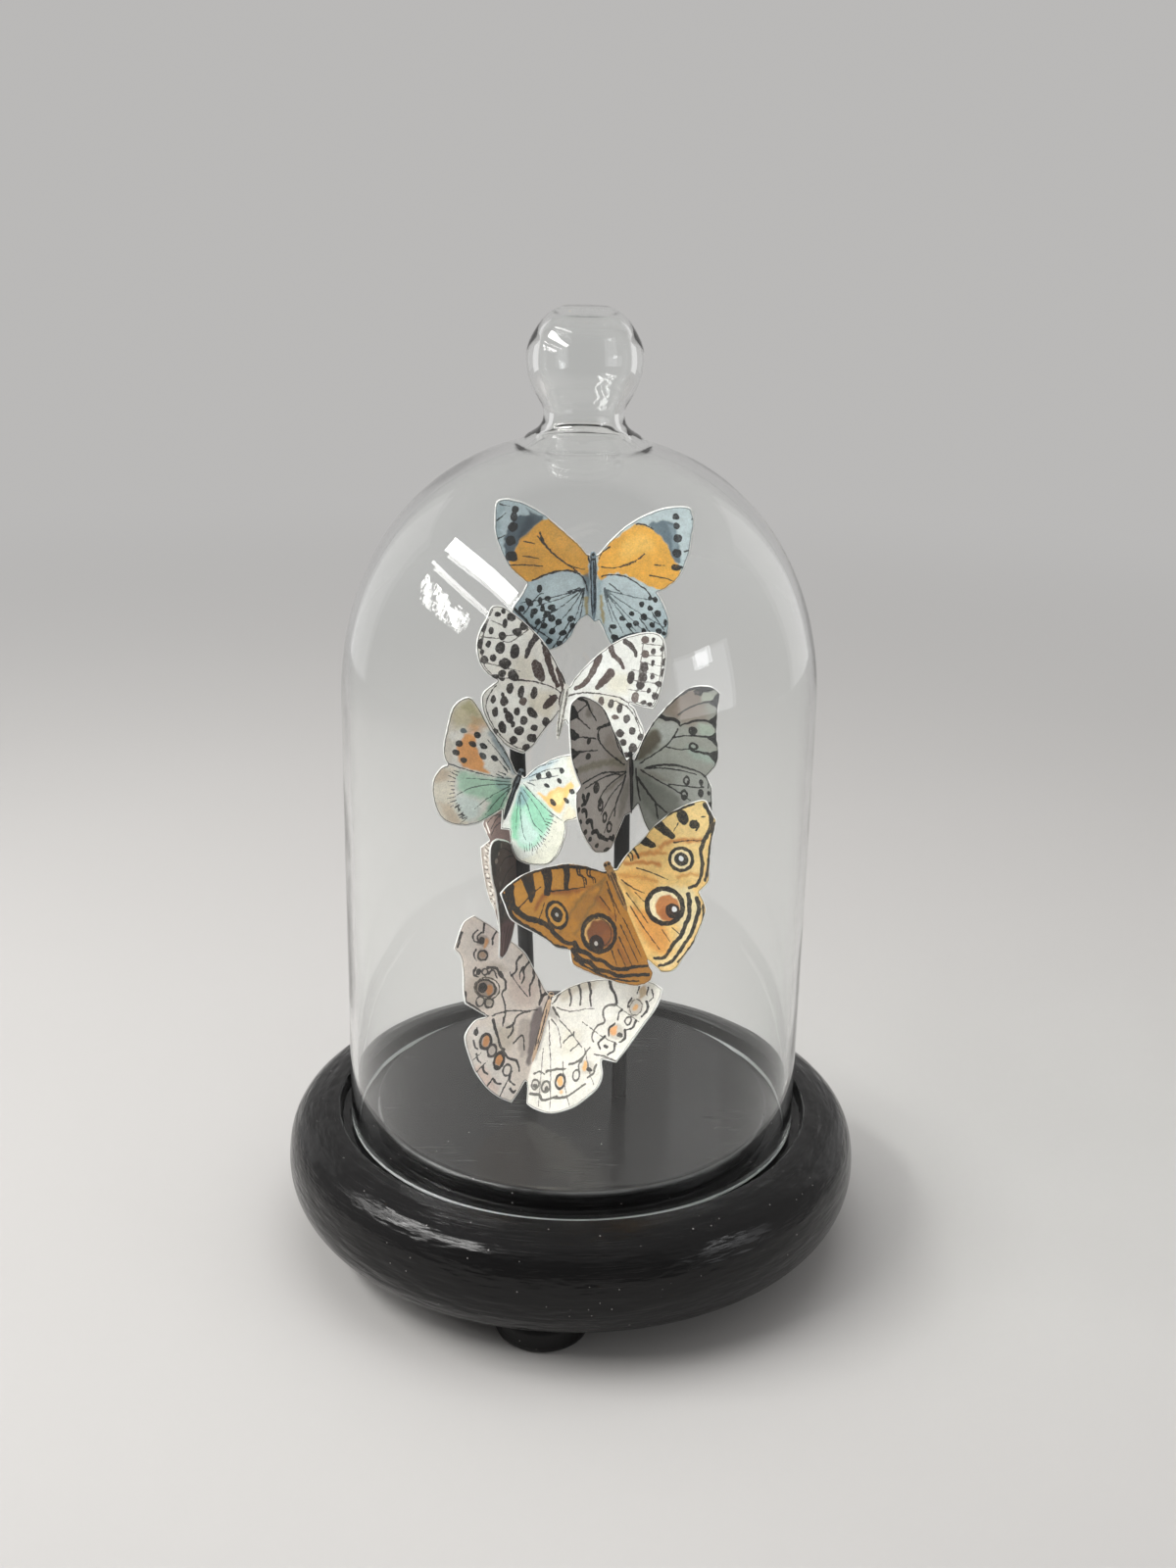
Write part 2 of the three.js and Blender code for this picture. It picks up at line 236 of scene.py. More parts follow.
def brushed_group():
    """Brush-laid paint on a turned piece: hairs that run round it, from noise stretched along the turn,
    worn lighter where a slow noise is high. On the raised disc the hairs run straight across.
    """
    tree, given, out = group(
        "brushed_paint",
        {
            "Paint": (0.01, 0.01, 0.01, 1),
            "Thin": (0.05, 0.05, 0.05, 1),
            "Hair": 2.2,
            "Smooth": 0.3,
            "Rough": 0.5,
            "Disc": 0.0,
        },
        {"Color": tuple, "Roughness": float, "Height": float},
    )
    turn = add_node(tree, "ShaderNodeAttribute", attribute_name="turn").outputs["Vector"]
    cos_t, sin_t, run = split_xyz(tree, turn)
    across = times(tree, run, given.outputs["Hair"])
    round_hairs = noise(
        tree, vector(tree, times(tree, cos_t, 2.4), times(tree, sin_t, 2.4), across), 1.0, 4.0, 0.62
    )
    object_at = add_node(tree, "ShaderNodeTexCoord").outputs["Object"]
    x, y, z = split_xyz(tree, object_at)
    radius = calc(tree, "SQRT", plus(tree, times(tree, x, x), times(tree, y, y)))

    inside_edge = ranged(tree, radius, DISC_EDGE - 0.0023, DISC_EDGE - 0.0003, 1.0, 0.0)
    on_disc = times(tree, inside_edge, calc(tree, "GREATER_THAN", z, DISC_TOP + 0.001))
    on_disc = times(tree, on_disc, given.outputs["Disc"])
    flat_hairs = noise(tree, vector(tree, times(tree, x, 34.0), times(tree, y, 760.0), 0.0), 1.0, 4.0, 0.62)
    hairs = plus(
        tree, times(tree, round_hairs, minus(tree, 1.0, on_disc)), times(tree, flat_hairs, on_disc)
    )

    # The disc's and the lip's edges turn pale: rubbed paint, and a painted highlight along them.
    disc_edge = edge_band(tree, radius, z, DISC_EDGE, 0.0006, DISC_TOP)
    lip_edge = edge_band(tree, radius, z, LIP_EDGE, 0.0005, LIP_TOP)
    pale_edges = times(tree, plus(tree, disc_edge, times(tree, lip_edge, 0.5)), given.outputs["Disc"])
    slow = noise(tree, object_at, 42.0, 3.0, 0.55)
    fine = noise(tree, object_at, 1500.0, 2.0, 0.6)
    worn = times(tree, ranged(tree, hairs, 0.5, 0.78), ranged(tree, slow, 0.42, 0.66))
    bare = times(tree, pale_edges, ranged(tree, slow, 0.36, 0.6, 0.1, 0.8))
    color = mixed(tree, worn, given.outputs["Paint"], given.outputs["Thin"])
    tree.links.new(mixed(tree, bare, color, BARE_WOOD_AND_HIGHLIGHT), out.inputs["Color"])

    gloss = plus(tree, times(tree, hairs, 0.6), times(tree, slow, 0.4))
    span = minus(tree, given.outputs["Rough"], given.outputs["Smooth"])
    rough = plus(tree, given.outputs["Smooth"], times(tree, ranged(tree, gloss, 0.35, 0.68), span))
    tree.links.new(rough, out.inputs["Roughness"])

    ridges_at = vector(tree, times(tree, cos_t, 7.0), times(tree, sin_t, 7.0), times(tree, run, 0.36))
    ridges = noise(tree, ridges_at, 1.0, 2.0, 0.5)
    height = plus(tree, times(tree, hairs, 0.16), times(tree, fine, 0.012))
    height = plus(tree, height, times(tree, ridges, 2.6))
    height = times(tree, height, minus(tree, 1.0, times(tree, on_disc, 0.8)))
    tree.links.new(height, out.inputs["Height"])
    return tree


def dust_group():
    """Specks of lint: cells of a Voronoi texture whose random colour passes a threshold, drawn as small
    dots.
    """
    tree, given, out = group("dust", {"Spacing": 2.6, "Size": 0.16, "Share": 0.3}, {"Mask": float})
    where = add_node(tree, "ShaderNodeTexCoord").outputs["Object"]
    scale = calc(tree, "DIVIDE", 1000.0, given.outputs["Spacing"])
    cells = add_node(tree, "ShaderNodeTexVoronoi", {"Vector": where, "Scale": scale})
    chance = add_node(tree, "ShaderNodeSeparateColor", {0: cells.outputs["Color"]}).outputs
    reach = times(tree, given.outputs["Size"], plus(tree, 0.3, chance[1]))
    reach = calc(tree, "DIVIDE", reach, given.outputs["Spacing"])
    near = calc(tree, "LESS_THAN", cells.outputs["Distance"], reach)
    taken = calc(tree, "LESS_THAN", chance[0], given.outputs["Share"])
    tree.links.new(times(tree, near, taken), out.inputs["Mask"])
    return tree


BRUSHED, DUST = brushed_group(), dust_group()
BLACK, THIN_BLACK = (0.0055, 0.0053, 0.0055, 1), (0.018, 0.0165, 0.0165, 1)
LINT = (0.3, 0.29, 0.28, 1)


def black_paint(name, hair, smooth, rough, bump, share=0.5, disc=0.0):
    """The brushed paint as a material: hair says how close the hairs lie, smooth and rough are the ends
    of its roughness, bump is the relief in metres, share that of lint, and disc is 1 for the piece that
    has the raised disc.
    """
    made, tree, shader = material(name, Specular_IOR_Level=0.28)
    brush = add_node(tree, "ShaderNodeGroup", node_tree=BRUSHED)
    for key, value in {
        "Paint": BLACK, "Thin": THIN_BLACK, "Hair": hair, "Smooth": smooth, "Rough": rough, "Disc": disc
    }.items():
        brush.inputs[key].default_value = value
    lint = add_node(tree, "ShaderNodeGroup", node_tree=DUST)
    lint.inputs["Share"].default_value = share
    color = mixed(tree, lint.outputs[0], brush.outputs["Color"], LINT)
    tree.links.new(color, shader.inputs["Base Color"])
    duller = times(tree, lint.outputs[0], 0.4)
    roughness = calc(tree, "ADD", brush.outputs["Roughness"], duller, clamp=True)
    tree.links.new(roughness, shader.inputs["Roughness"])
    relief = add_node(tree, "ShaderNodeBump", {
        "Height": brush.outputs["Height"], "Strength": 1.0, "Distance": bump,
    })
    tree.links.new(relief.outputs[0], shader.inputs["Normal"])
    return made


RIM = [
    [66, 8], [70.4, 8.5], [74.7, 10.2], [78.1, 13], [80.4, 16.6], [81.6, 20.2], [82, 24], [81.7, 28.3],
    [80.9, 31.5], [79.5, 34.2], [77.4, 36.3], [75, 37.5],
]
RING_AND_DISC = [
    [71.4, 38.6], [67.7, 39], [67.2, 38.6], [66.6, 35.1], [57, 35.1], [56.7, 35.6], [56.7, 40.1],
    [55.9, 40.9],
]
across_disc = [[r, RING_AND_DISC[-1][1]] for r in [*np.arange(52, 1, -4), 0]]
profile = eased([[0, 8], [30, 8], [60, 8], *curve(RIM, 5), *RING_AND_DISC, *across_disc], size=0.35)
base = turned("base_turned", profile, sides=288)
base.data.materials.append(black_paint("black_brushed_paint", 2.4, 0.1, 0.3, 0.00024, disc=1.0))
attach(base, "root")
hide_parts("base")

# The feet
# Three short turned buttons under the base, painted with it.
FOOT = [
    [0, 0], [9.8, 0], [11.1, 0.35], [12.1, 1.2], [12.7, 2.4], [12.8, 4], [12.8, 6.5], [12, 7.7], [0, 7.7]
]
FOOT_CIRCLE = 59  # radius in mm
foot_paint = black_paint("black_foot_paint", 1.6, 0.3, 0.55, 0.0001)
for number, degrees in enumerate((-96.4, 23.6, 143.6), 1):
    at = FOOT_CIRCLE * np.array([np.cos(np.radians(degrees)), np.sin(np.radians(degrees)), 0])
    foot = turned(f"foot_button_{number}", eased(FOOT, size=0.3), 96, at)
    foot.data.materials.append(foot_paint)
    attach(foot, "root")
    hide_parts(f"foot_{number}")

# The dome
# One piece of blown glass with a hollow ball knob drawn out of its crown, standing in the groove.
INSIDE, OUTSIDE = 61.9, 64  # the wall's radii in mm
WALL_TOP = 158.5  # height in mm where the shoulder starts
POWER = 2.15  # of the shoulder's superellipse


def shoulder(radius, height, end, steps):
    """A quarter of a superellipse, from the wall up to the radius where the neck starts."""
    t = np.linspace(0, np.arccos((end / radius) ** (POWER / 2)), steps)
    return np.stack([radius * np.cos(t) ** (2 / POWER), WALL_TOP + height * np.sin(t) ** (2 / POWER)], -1)


KNOB = [
    [14.2, 230.1], [12, 231.5], [10.8, 233.2], [10.5, 235.2], [10.9, 237.2], [12.4, 239.8], [14.2, 243.4],
    [15.15, 248.2], [14.7, 252.2], [12.9, 256], [10.4, 259.4], [7.8, 261.5], [6.2, 262],
]
HOLLOW = [
    [5.8, 260.4], [8.7, 258.8], [11.2, 255.2], [12.2, 249.4], [11.6, 244.8], [9.8, 240.8], [8.4, 237.6],
    [8, 234.8], [8.8, 231.4], [11.4, 228.4],
]
inner = np.r_[[[0, 260.7], [3, 260.7]], curve(HOLLOW, 6), shoulder(INSIDE, 68.6, 15, 44)[::-1]]
wall = np.linspace(36.6, 152, 24)
outer = np.r_[shoulder(OUTSIDE, 71.5, 17, 48), curve(KNOB, 6), [[3, 262], [0, 262]]]
lip = eased(
    [[INSIDE, 36.2], [INSIDE, 35.9], [62.6, 35.4], [63.3, 35.4], [OUTSIDE, 36.2], [OUTSIDE, 36.5]], size=0.3
)
profile = np.r_[inner, [[INSIDE, h] for h in wall[::-1]], lip, [[OUTSIDE, h] for h in wall], outer]
dome = turned("dome_blown", profile, sides=224)
clear, tree, shader = material(
    "clear_blown_glass",
    Base_Color=(0.985, 0.995, 0.99, 1),
    Roughness=0.0, IOR=1.45, Transmission_Weight=1.0,
)
where = add_node(tree, "ShaderNodeTexCoord").outputs["Object"]
waves = noise(tree, where, 26.0, 1.0, 0.4)
relief = add_node(tree, "ShaderNodeBump", {"Height": waves, "Strength": 0.5, "Distance": 0.0006})
tree.links.new(relief.outputs[0], shader.inputs["Normal"])
passing = add_node(tree, "ShaderNodeBsdfTransparent", {"Color": (0.97, 0.98, 0.975, 1)})
shadow_ray = add_node(tree, "ShaderNodeLightPath").outputs["Is Shadow Ray"]
blend = add_node(tree, "ShaderNodeMixShader", {0: shadow_ray, 1: shader.outputs[0], 2: passing.outputs[0]})
tree.links.new(blend.outputs[0], tree.nodes["Material Output"].inputs["Surface"])
dome.data.materials.append(clear)
# The foot is cut and melted round again, which leaves a paler, less clear line; its pale colour also paints
# in the bright line of light that the foot refracts.
PALE_FOOT_BELOW = 0.0364  # height in metres
foot_glass, tree, shader = material(
    "melted_glass_foot_and_glint", Base_Color=(0.5, 0.52, 0.51, 1), Roughness=0.3, IOR=1.45, Transmission_Weight=0.45
)
dome.data.materials.append(foot_glass)
heights = np.array([dome.data.vertices[face.vertices[0]].co.z for face in dome.data.polygons])
dome.data.polygons.foreach_set("material_index", (heights < PALE_FOOT_BELOW).astype(np.int32))
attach(dome, "root")
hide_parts("glass_dome")

# The sticks
# Two straight round sticks painted matt black, standing in the raised disc, one leaning a little.
STICK = 2.15  # radius in mm
stick_paint = black_paint("black_stick_paint", 0.5, 0.5, 0.7, 0.00008, share=0.12)
for side, low, high in (
    ("left", (-12.2, 5.06, 41.4), (-17.4, 5.06, 153.8)), ("right", (13.64, -3.47, 41.2), (12.2, -3.47, 142))
):
    low, high = np.array(low), np.array(high)
    length = np.linalg.norm(high - low)
    cut = [
        [0, 0], [1.85, 0], [STICK, 0.3],
        *[[STICK, h] for h in np.linspace(4, length - 4, 22)],
        [STICK, length - 0.25], [1.9, length], [0, length]
    ]
    stick = turned(f"stick_{side}", cut, 40, low, high - low, wobble=0.006)
    stick.data.materials.append(stick_paint)
    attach(stick, "root")
    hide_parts(f"post_{side}")

# The butterflies
# Seven paper cut-outs printed on both sides with painted wing markings, each folded along its body and
# fixed in the air round the sticks. The scissors left a narrow white edge round every wing.
PAPER = 0.36  # thickness in mm
SPACING, LINE_SPACING, EDGE_SPACING = 0.34, 0.3, 0.4  # mm between the points inside, on a line, on the cut
CROWDED, DOUBLED = 0.24, 0.12  # mm cells that a grid point, or a second drawn point, gives way in
MARGIN = 0.17  # mm that the inner points keep from the cut
INK_WARP, LIGHT_WARP = 0.12, 0.08  # mm that the painted marks wander


def tint(code):
    """A hex colour as linear red, green, blue."""
    c = np.array([int(code[i : i + 2], 16) for i in (0, 2, 4)]) / 255
    return np.where(c < 0.04045, c / 12.92, ((c + 0.055) / 1.055) ** 2.4)


def ripple(p, size, seed):
    """A smooth pseudo-random value from -1 to 1: the mean of six sine waves of about the given wavelength,
    in directions drawn from the seed.
    """
    draw = np.random.default_rng(seed)
    turn, phase = draw.uniform(0, 2 * np.pi, (2, 6))
    k = 2 * np.pi / size * draw.uniform(0.6, 1.5, 6)
    return np.sin(p[:, :1] * np.cos(turn) * k + p[:, 1:2] * np.sin(turn) * k + phase).mean(1) * 1.7


def to_line(p, line):
    """Distance in mm from each point to the polyline, and how far along it the nearest place is, from 0 to
    1.
    """
    a, d = line[:-1], np.diff(line, axis=0)
    t = np.clip(((p[:, None] - a) * d).sum(-1) / (d * d).sum(-1), 0, 1)
    away = np.linalg.norm(p[:, None] - a - t[..., None] * d, axis=-1)
    k = away.argmin(1)
    row = np.arange(len(p))
    return away[row, k], (k + t[row, k]) / len(a)


def inside(p, loop):
    """True where a point is in the closed polygon, by counting the sides that a ray crosses."""
    a, b = loop, np.roll(loop, -1, axis=0)
    x, y = p[:, :1], p[:, 1:2]
    spans = (a[:, 1] > y) != (b[:, 1] > y)
    rise = np.where(b[:, 1] == a[:, 1], 1e-12, b[:, 1] - a[:, 1])
    return (spans & (x < a[:, 0] + (y - a[:, 1]) * (b[:, 0] - a[:, 0]) / rise)).sum(1) % 2 == 1


def patch_depth(p, loop):
    """Signed distance to a closed outline, negative inside it."""
    away = to_line(p, np.r_[loop, loop[:1]])[0]
    return np.where(inside(p, loop), -away, away)


def cut_line(outline):
    """The scissors' line: the outline eased between its points, but left sharp where it turns by more than
    50 degrees.
    """
    p = np.asarray(outline, float)
    d = np.diff(p, axis=0)
    d /= np.linalg.norm(d, axis=1)[:, None]
    sharp = np.r_[0, 1 + np.flatnonzero((d[:-1] * d[1:]).sum(1) < np.cos(np.radians(50))), len(p) - 1]
    runs = [curve(p[a : b + 1], 6)[:-1] for a, b in zip(sharp[:-1], sharp[1:])]
    return np.r_[np.concatenate(runs), p[-1:]]


def respaced(line, spacing):
    """The same line with points at even distances."""
    run = np.r_[0, np.cumsum(np.linalg.norm(np.diff(line, axis=0), axis=1))]
    at = np.linspace(0, run[-1], max(2, int(round(run[-1] / spacing)) + 1))
    return np.stack([np.interp(at, run, line[:, k]) for k in (0, 1)], -1)


def half_sheet(outline, length, lines):
    """Triangles of one flat half in [out, along] mm: the cut edge, the fold, a hexagonal grid inside, and
    points along the drawn lines.
    """
    edge = respaced(cut_line([[0, 0], *outline, [0, length]]), EDGE_SPACING)
    fold = np.stack([np.zeros(40), np.linspace(length, 0, 40)], -1)[1:-1]
    loop = np.r_[edge, fold]
    low, high = loop.min(0), loop.max(0)
    x, y = np.meshgrid(np.arange(low[0], high[0], SPACING), np.arange(low[1], high[1], SPACING * 0.866))
    x = x + (np.arange(len(x))[:, None] % 2) * SPACING / 2
    grid = np.stack([x.ravel(), y.ravel()], -1)
    drawn = [respaced(curve(line, 4), LINE_SPACING) for line in lines]
    drawn = np.concatenate(drawn) if drawn else np.zeros((0, 2))
    taken = set(map(tuple, np.round(drawn / CROWDED).astype(int).tolist()))
    free = np.array([tuple(q) not in taken for q in np.round(grid / CROWDED).astype(int).tolist()])
    near = np.unique(np.round(drawn / DOUBLED).astype(int), axis=0, return_index=True)[1]
    p = np.r_[grid[free], drawn[np.sort(near)]]
    p = p[patch_depth(p, loop) < -MARGIN]
    points, _, faces, *_ = delaunay_2d_cdt(
        [Vector(q) for q in np.r_[loop, p].tolist()], [], [list(range(len(loop)))], 1, 1e-5, False
    )
    points, faces = np.array([tuple(q) for q in points]), np.array(faces)
    return points, faces[patch_depth(points[faces].mean(1), loop) < 0], loop


def laid(p, marks, warp, seed):
    """Signed distance to the nearest of the marks, in mm, and that mark's colour. The marks are ("line",
    colour, half width, points, its shares at the two ends), ("dot", colour, [out, along, radius out,
    radius along, tilt]), ("ring", colour, [out, along, radius out, radius along, half width]) and
    ("area", colour, outline).
    """
    q = p + warp * np.stack([ripple(p, 2.2, seed), ripple(p, 2.2, seed + 1)], -1)
    depth, color = np.full(len(p), 9.0), np.zeros((len(p), 3))
    for kind, code, *rest in marks:
        if kind == "line":
            width, points = rest[0], np.asarray(rest[1], float)
            away, share = to_line(q, curve(points, 5))
            ends = rest[2] if len(rest) > 2 else (1, 0.55)
            d = away - width * (ends[0] + (ends[1] - ends[0]) * share)
        elif kind == "dot":
            x, y, a, b, *tilt = rest[0]
            t = np.radians(tilt[0] if tilt else 0)
            u = (q[:, 0] - x) * np.cos(t) + (q[:, 1] - y) * np.sin(t)
            v = (q[:, 1] - y) * np.cos(t) - (q[:, 0] - x) * np.sin(t)
            n = np.sqrt((u / a) ** 2 + (v / b) ** 2)
            d = (n - 1) * np.sqrt(a * b)
        elif kind == "ring":
            x, y, a, b, width = rest[0]
            n = np.sqrt(((q[:, 0] - x) / a) ** 2 + ((q[:, 1] - y) / b) ** 2)
            d = np.abs(n - 1) * np.sqrt(a * b) - width
        else:
            d = patch_depth(q, np.asarray(rest[0], float)) - 0.3
        color[d < depth] = tint(code)
        depth = np.minimum(depth, d)
    return depth, color


def washed(p, ground, washes, seed):
    """The paint under the marks: the ground colour, with each wash (colour, softness in mm, strength,
    shape) laid over it in turn. A shape is an outline, a dot [out, along, radius out, radius along], or
    a line of points with a third value, the first of which is its half width.
    """
    color = np.tile(tint(ground), (len(p), 1))
    q = p + 0.3 * np.stack([ripple(p, 3.1, seed + 7), ripple(p, 3.1, seed + 8)], -1)
    for code, soft, strength, shape in washes:
        shape = np.asarray(shape, float)
        if shape.ndim == 1:
            x, y, a, b = shape[:4]
            d = (np.hypot((q[:, 0] - x) / a, (q[:, 1] - y) / b) - 1) * np.sqrt(a * b)
        elif shape.shape[1] == 3:
            away, _ = to_line(q, curve(shape[:, :2], 5))
            d = away - shape[0, 2]
        else:
            d = patch_depth(q, curve(np.r_[shape, shape[:1]], 4)[:-1])
        k = np.clip(0.5 - d / soft, 0, 1)
        k = (k * k * (3 - 2 * k) * strength)[:, None]
        color = color * (1 - k) + tint(code) * k
    return color


LAYERS = ("ground", "ink", "ink_tone", "light", "light_tone", "rim")
DEEPER = (0.55, 0.55, 0.55, 1)
CUT_LINE, WHITE_EDGE = (0.035, 0.032, 0.03, 1), (0.8, 0.79, 0.77, 1)


def paper_group():
    """Printed paper: the wash, then ink and light marks where their signed distance passes a ragged
    threshold, then the bare white edge; with the print's granulation and the sheet's fibre.
    """
    tree, given, out = group(
        "printed_paper",
        {"Granulation": 0.5, "Edge": 0.42, "Ragged": 0.09, "Line": 0.5, "Grow": 0.08},
        {"Color": tuple, "Roughness": float, "Height": float},
    )
    where = add_node(tree, "ShaderNodeTexCoord").outputs["Object"]
    read = {n: add_node(tree, "ShaderNodeAttribute", attribute_name=n).outputs for n in LAYERS}
    grain = noise(tree, where, 2300.0, 2.0, 0.6)
    blot = noise(tree, where, 900.0, 3.0, 0.6)
    pool = noise(tree, where, 260.0, 3.0, 0.6)
    rag = times(tree, minus(tree, blot, 0.5), times(tree, given.outputs["Ragged"], 3.0))
    rag = plus(tree, rag, times(tree, minus(tree, grain, 0.5), given.outputs["Ragged"]))
    tone = plus(
        tree, times(tree, pool, 0.34), plus(tree, times(tree, blot, 0.22), times(tree, grain, 0.44))
    )
    shade = plus(
        tree, 1.0, times(tree, minus(tree, tone, 0.5), times(tree, given.outputs["Granulation"], 3.4))
    )
    grey = add_node(tree, "ShaderNodeCombineColor", {0: shade, 1: shade, 2: shade}).outputs[0]
    color = mixed(tree, 1.0, read["ground"]["Color"], grey, "MULTIPLY")
    faded = ranged(tree, tone, 0.45, 0.72, 0.0, 0.22)
    deep = mixed(tree, 1.0, read["ink_tone"]["Color"], DEEPER, "MULTIPLY")
    ink = mixed(tree, faded, deep, color)
    ink_depth = plus(tree, minus(tree, read["ink"]["Fac"], given.outputs["Grow"]), rag)
    color = mixed(tree, ranged(tree, ink_depth, -0.07, 0.07, 1.0, 0.0), color, ink)
    light_depth = plus(tree, read["light"]["Fac"], rag)
    color = mixed(
        tree, ranged(tree, light_depth, -0.07, 0.07, 1.0, 0.0), color, read["light_tone"]["Color"]
    )
    edge = plus(tree, read["rim"]["Fac"], times(tree, minus(tree, pool, 0.5), 0.9))
    edge = plus(tree, edge, 0.12)
    bare = ranged(tree, minus(tree, edge, given.outputs["Edge"]), -0.05, 0.07, 1.0, 0.0)
    line = calc(tree, "ABSOLUTE", minus(tree, edge, plus(tree, given.outputs["Edge"], 0.16)))
    line = times(tree, ranged(tree, line, 0.06, 0.17, 1.0, 0.0), given.outputs["Line"])
    color = mixed(tree, line, color, CUT_LINE)
    color = mixed(tree, bare, color, WHITE_EDGE)
    tree.links.new(color, out.inputs["Color"])
    tree.links.new(ranged(tree, blot, 0.3, 0.7, 0.58, 0.78), out.inputs["Roughness"])
    tree.links.new(plus(tree, times(tree, grain, 0.6), times(tree, blot, 0.4)), out.inputs["Height"])
    return tree


PRINTED = paper_group()


def printed_paper(name, granulation=0.5, edge=0.42, ragged=0.09, line=0.5, grow=0.08):
    """The print as a material: granulation says how uneven the paint is, edge how many mm of the sheet
    stay white, ragged and grow how far the marks' edges wander and swell, and line how dark the cut is.
    """
    made, tree, shader = material(name, Specular_IOR_Level=0.35)
    sheet = add_node(tree, "ShaderNodeGroup", node_tree=PRINTED)
    for key, value in {
        "Granulation": granulation, "Edge": edge, "Ragged": ragged, "Line": line, "Grow": grow
    }.items():
        sheet.inputs[key].default_value = value
    tree.links.new(sheet.outputs["Color"], shader.inputs["Base Color"])
    tree.links.new(sheet.outputs["Roughness"], shader.inputs["Roughness"])
    relief = add_node(tree, "ShaderNodeBump", {
        "Height": sheet.outputs["Height"], "Strength": 0.6, "Distance": 0.00006,
    })
    tree.links.new(relief.outputs[0], shader.inputs["Normal"])
    return made


def butterfly(
    name, paper, head, tail, face, turn, halves, body=None, one_side=False, bow=(0.5, 0.5), seed=1
):
    """One folded sheet, the left half first. A half's point is head + out * u + along * w, bowed forward
    by a few tenths of a mm towards its tip; front and back lie half the paper's thickness either way,
    and meet at the cut edge. head and tail are the fold's ends, face is the way its front looks, turn
    holds the degrees that the halves are folded forward by, bow how many mm their tips bend, and with
    one_side both halves lie on the left of the fold.
    """
    head, tail, face = (np.asarray(v, float) for v in (head, tail, face))
    along = tail - head
    length = np.linalg.norm(along)
    along = along / length
    face = face - face @ along * along
    face /= np.linalg.norm(face)
    side = np.cross(along, face)
    side *= np.sign(side[0]) / np.linalg.norm(side)
    mids, normals, flats, faces, marks, start = [], [], [], [], [], 0
    for k, half in enumerate(halves):
        way = -1 if k == 0 or one_side else 1
        t = np.radians(turn[k])
        u = side * np.cos(t) * way + face * np.sin(t)
        n = np.cross(u, along)
        n *= np.sign(n @ face) if not one_side else (-1 if k else 1) * np.sign(n @ face)
        lines = [m[3] for m in half["ink"] if m[0] == "line" and m[2] < 0.3]
        p, tri, loop = half_sheet(half["outline"], length, lines)
        bowed = bow[k] * (p[:, 0] / p[:, 0].max()) ** 2 * (0.6 + 0.4 * np.sin(p[:, 1] / 9 + k))
        lift = bowed + 0.12 * ripple(p, 17, seed + k) * np.clip(p[:, 0] / 4, 0, 1)
        mid = head + p[:, :1] * u + p[:, 1:] * along + lift[:, None] * n
        a, b, c = mid[tri[0]]
        if np.cross(b - a, c - a) @ n < 0:
            tri = tri[:, ::-1]
        normal = np.tile(n, (len(p), 1))
        mids.append(mid)
        normals.append(normal)
        flats.append(p)
        faces.append(tri + start)
        wash = washed(p, half["ground"], half["washes"], seed + 10 * k)
        ink, ink_tone = laid(p, half["ink"], INK_WARP, seed + 10 * k + 3)
        light, light_tone = laid(p, half.get("light", []), LIGHT_WARP, seed + 10 * k + 5)
        rim = to_line(p, respaced(cut_line([[0, 0], *half["outline"], [0, length]]), 0.8))[0]
        marks.append((wash, ink, ink_tone, light, light_tone, rim))
        start += len(p)
    mid, normal, tri = (np.concatenate(v) for v in (mids, normals, faces))
    fold = [
        np.flatnonzero((abs(f[:, 0]) < 1e-4) & (f[:, 1] > -1e-3) & (f[:, 1] < length + 1e-3)) for f in flats
    ]
    fold = [f[np.argsort(flats[k][f, 1])] + (0 if k == 0 else len(flats[0])) for k, f in enumerate(fold)]
    shared = np.arange(len(mid))
    shared[fold[1]] = fold[0]
    tri = shared[tri]
    seam = normals[0][0] + normals[1][0]
    normal[fold[0]] = seam / (seam @ normals[0][0]) if abs(seam @ normals[0][0]) > 0.2 else normals[0][0]
    sides = np.sort(np.concatenate([tri[:, [0, 1]], tri[:, [1, 2]], tri[:, [2, 0]]]), axis=1)
    directed = np.concatenate([tri[:, [0, 1]], tri[:, [1, 2]], tri[:, [2, 0]]])
    _, index, count = np.unique(sides, axis=0, return_index=True, return_counts=True)
    border = directed[index[count == 1]]
    total = len(mid)
    points = np.r_[mid + normal * PAPER / 2, mid - normal * PAPER / 2]
    strip = np.stack([border[:, 1], border[:, 0], border[:, 0] + total, border[:, 1] + total], -1)
    used = np.unique(np.r_[tri.ravel(), tri.ravel() + total])
    place = np.zeros(2 * total, int)
    place[used] = np.arange(len(used))
    sheet = built(name + "_wings", points[used], place[tri], place[tri[:, ::-1] + total], place[strip])
    flags = np.ones(len(tri) * 2 + len(strip), bool)
    flags[2 * len(tri) :] = False
    sheet.data.polygons.foreach_set("use_smooth", flags)
    columns = [np.concatenate([m[i] for m in marks]) for i in range(6)]
    for label, values in zip(LAYERS, columns):
        if values.ndim == 2:
            values = np.c_[values, np.ones(len(values))]
        painted(sheet, label, np.concatenate([values, values])[used])
    sheet.data.materials.append(paper)
    pieces = [sheet]
    if body:
        pieces.append(paper_body(name, head, along, face, side, body, seed))
        pieces[-1].data.materials.append(paper)
    for piece in pieces:
        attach(piece, "root")
        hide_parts(name)
    return pieces


BODY_SHAPE = [
    [0, 0], [0.42, 0.01], [0.72, 0.05], [0.66, 0.11], [0.9, 0.18], [1, 0.28], [0.86, 0.37], [0.66, 0.43],
    [0.76, 0.56], [0.72, 0.72], [0.5, 0.88], [0.22, 0.97], [0, 1],
]
CROWN = 0.42  # a body's height over its half width
FRONT, BACK = 0.3, 0.12  # mm that its edge and its flat back stand before the fold


